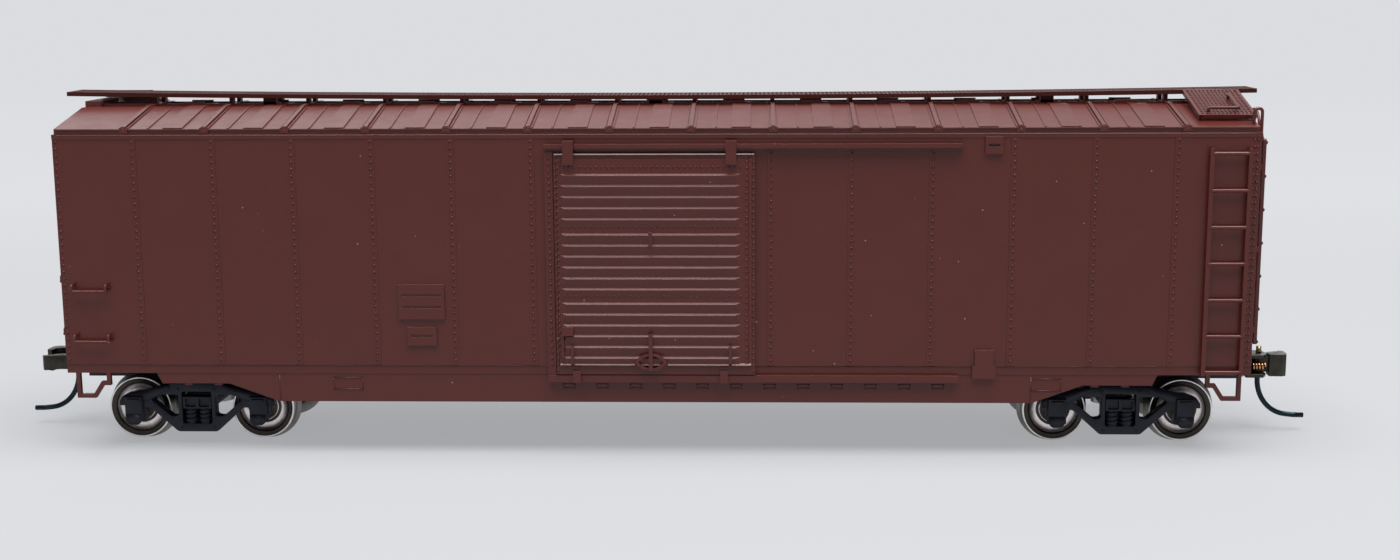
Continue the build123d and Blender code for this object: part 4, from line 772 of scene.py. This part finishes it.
# Wheels and axles
# The wheels are turned metal, blackened: a bright edge round the face, a dark rim, a paler plate sunk
# behind it and a dark hub. The axles are plain bright steel with needle points.
def metal(name, colour, roughness, stain=0.2, edge=0.00004):
    """Metal whose colour and gloss wander with a noise, with softened edges, as on blackened parts."""
    material = bpy.data.materials.new(name)
    material.use_nodes = True
    tree = material.node_tree
    shader = tree.nodes["Principled BSDF"]
    shader.inputs["Metallic"].default_value = 1.0
    place = tree.nodes.new("ShaderNodeTexCoord")
    cloudy = tree.nodes.new("ShaderNodeTexNoise")
    cloudy.inputs["Scale"].default_value = 700.0
    cloudy.inputs["Detail"].default_value = 6.0
    tree.links.new(place.outputs["Object"], cloudy.inputs["Vector"])
    shade = tree.nodes.new("ShaderNodeValToRGB")
    lights = (1 - stain, 1 + stain)
    for element, stop, light in zip(shade.color_ramp.elements, (0.3, 0.7), lights):
        element.position = stop
        element.color = (*[min(1.0, c * light) for c in colour], 1)
    tree.links.new(cloudy.outputs["Fac"], shade.inputs["Fac"])
    tree.links.new(shade.outputs["Color"], shader.inputs["Base Color"])
    gloss = tree.nodes.new("ShaderNodeMapRange")
    gloss.inputs["To Min"].default_value = roughness - 0.08
    gloss.inputs["To Max"].default_value = roughness + 0.08
    tree.links.new(cloudy.outputs["Fac"], gloss.inputs["Value"])
    tree.links.new(gloss.outputs["Result"], shader.inputs["Roughness"])
    rounded = tree.nodes.new("ShaderNodeBevel")
    rounded.samples = 4
    rounded.inputs["Radius"].default_value = edge
    tree.links.new(rounded.outputs["Normal"], shader.inputs["Normal"])
    return material


wheel_tread = metal("wheel_tread", (0.26, 0.25, 0.235), 0.36)
wheel_edge = metal("wheel_edge", (0.78, 0.76, 0.76), 0.30)
wheel_dark = metal("wheel_dark", (0.060, 0.050, 0.042), 0.34)
wheel_plate = metal("wheel_plate", (0.82, 0.74, 0.73), 0.34)
axle_steel = metal("axle_steel", (0.48, 0.47, 0.46), 0.33)
# profile of a wheel: distance out from its back, radius, and the finish of the band that starts there
profile = np.array((
    (0.00, 0.95, 1), (0.00, 2.00, 1), (0.12, 2.20, 1), (0.12, 3.60, 1), (0.00, 3.90, 0), (0.00, 5.15, 0),
    (0.06, 5.34, 0), (0.22, 5.44, 0), (0.42, 5.42, 0), (0.58, 5.28, 0), (0.72, 5.00, 0), (0.90, 4.90, 0),
    (1.20, 4.86, 0), (2.64, 4.86, 3), (2.77, 4.85, 3), (2.80, 4.80, 3), (2.80, 4.62, 1), (2.72, 4.50, 1),
    (2.70, 4.10, 1), (2.66, 3.90, 1), (2.45, 3.74, 2), (2.10, 3.56, 2), (1.98, 3.36, 2), (1.90, 2.66, 1),
    (1.98, 2.50, 1), (2.05, 2.20, 3), (2.12, 2.12, 1), (2.20, 1.62, 1), (2.62, 1.50, 1), (2.66, 1.20, 1),
    (2.60, 0.95, 1),
))
wheel_back, wheel_points = 7.25, 96
turn = np.linspace(0, 2 * np.pi, wheel_points, endpoint=False)
for number, axle_x in enumerate((81.6, 62.0, -62.0, -81.6), 1):
    halves = []
    for hand in (1, -1):
        rings = np.stack((
            axle_x + profile[:, 1:2] * np.cos(turn),
            hand * np.repeat(wheel_back + profile[:, :1], wheel_points, 1),
            axle_z + hand * profile[:, 1:2] * np.sin(turn),
        ), -1)
        halves.append((rings, grid_faces(len(profile), wheel_points, True, True)))
    wheelset = f"wheelset_{number}"
    wheels = moulding(f"wheels_{number}_turned", join(*halves), wheelset, wheel_tread)
    for finish in (wheel_dark, wheel_plate, wheel_edge):
        wheels.data.materials.append(finish)
    bands = np.repeat(profile[:, 2].astype(int), wheel_points)
    wheels.data.polygons.foreach_set("material_index", np.tile(bands, 2))
    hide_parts(f"wheels_{number}")
    nodes[f"axle_{number}"].data.materials.clear()
    nodes[f"axle_{number}"].data.materials.append(axle_steel)
for name in ("pivot_screw_brake", "pivot_screw_plain", "steel_weight"):
    nodes[name].data.materials.clear()
    nodes[name].data.materials.append(axle_steel)


# Couplers
# Head and knuckle are cast and blackened metal. A steel wire hangs from the knuckle pin and curls away
# under the coupler, and a small copper spring holds the knuckle shut.
coupler_black = metal("coupler_black", (0.055, 0.050, 0.042), 0.42, 0.3)
wire_black = metal("wire_black", (0.020, 0.034, 0.040), 0.30, 0.3)
copper = metal("copper", (0.78, 0.40, 0.20), 0.28)
brass = metal("brass", (0.30, 0.26, 0.15), 0.36)
pin_x, pin_y, pin_z = 95.7, -1.15, 10.9
wire_radius, shaft_low = 0.41, 0.011
# the wire from the top of its pin: straight down, round a quarter of an ellipse, and out along the floor
arc = np.radians(np.linspace(0, 84, 19))
curl_long, curl_tall, curl_start = 5.1, 5.75, 8.4
curl_x = curl_long * (1 - np.cos(arc))
curl_z = curl_start - curl_tall * np.sin(arc)
wire_x = np.concatenate(((0.0, 0.0, 0.0), curl_x, (curl_x[-1] + 1.3, 7.5)))
wire_z = np.concatenate(((13.75, 12.9, 9.0), curl_z, (2.53, 2.5)))
for end, way in (("brake", 1), ("plain", -1)):
    softened(f"coupler_{end}", coupler_black, f"coupler_{end}", 0.10, 3)
    softened(f"knuckle_{end}", coupler_black, f"knuckle_{end}", 0.22, 4)
    knuckle, coupler = f"knuckle_{end}", f"coupler_{end}"
    path = np.stack((way * (pin_x + wire_x), np.full(len(wire_x), way * pin_y), wire_z), -1)
    shape = bar(path, (0, way, 0), wire_radius, 14)
    wire = moulding(f"trip_wire_{end}_round", shape, knuckle, wire_black)
    wire.data.materials.append(brass)
    heights = np.array([face.center.z for face in wire.data.polygons])
    wire.data.polygons.foreach_set("material_index", (heights > shaft_low).astype(int))
    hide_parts(f"trip_wire_{end}")
    points, faces = coil((0, 0, 0), 0.5, 0.13, 4.5, 2.05, 8, 18)
    points = np.reshape(points, (-1, 3))
    laid = np.stack((way * (94.2 + points[:, 2]), way * (points[:, 0] - 3.0), pin_z + points[:, 1]), -1)
    spring = moulding(f"knuckle_spring_{end}_coil", (laid, faces), coupler, copper)
    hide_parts(f"knuckle_spring_{end}")
    cap = copies(dome(upright, lengthways, 0.32, 0.22), [(way * (pin_x + 0.35), way * -0.15, 12.75)])
    moulding(f"knuckle_pin_{end}", cap, coupler, brass)
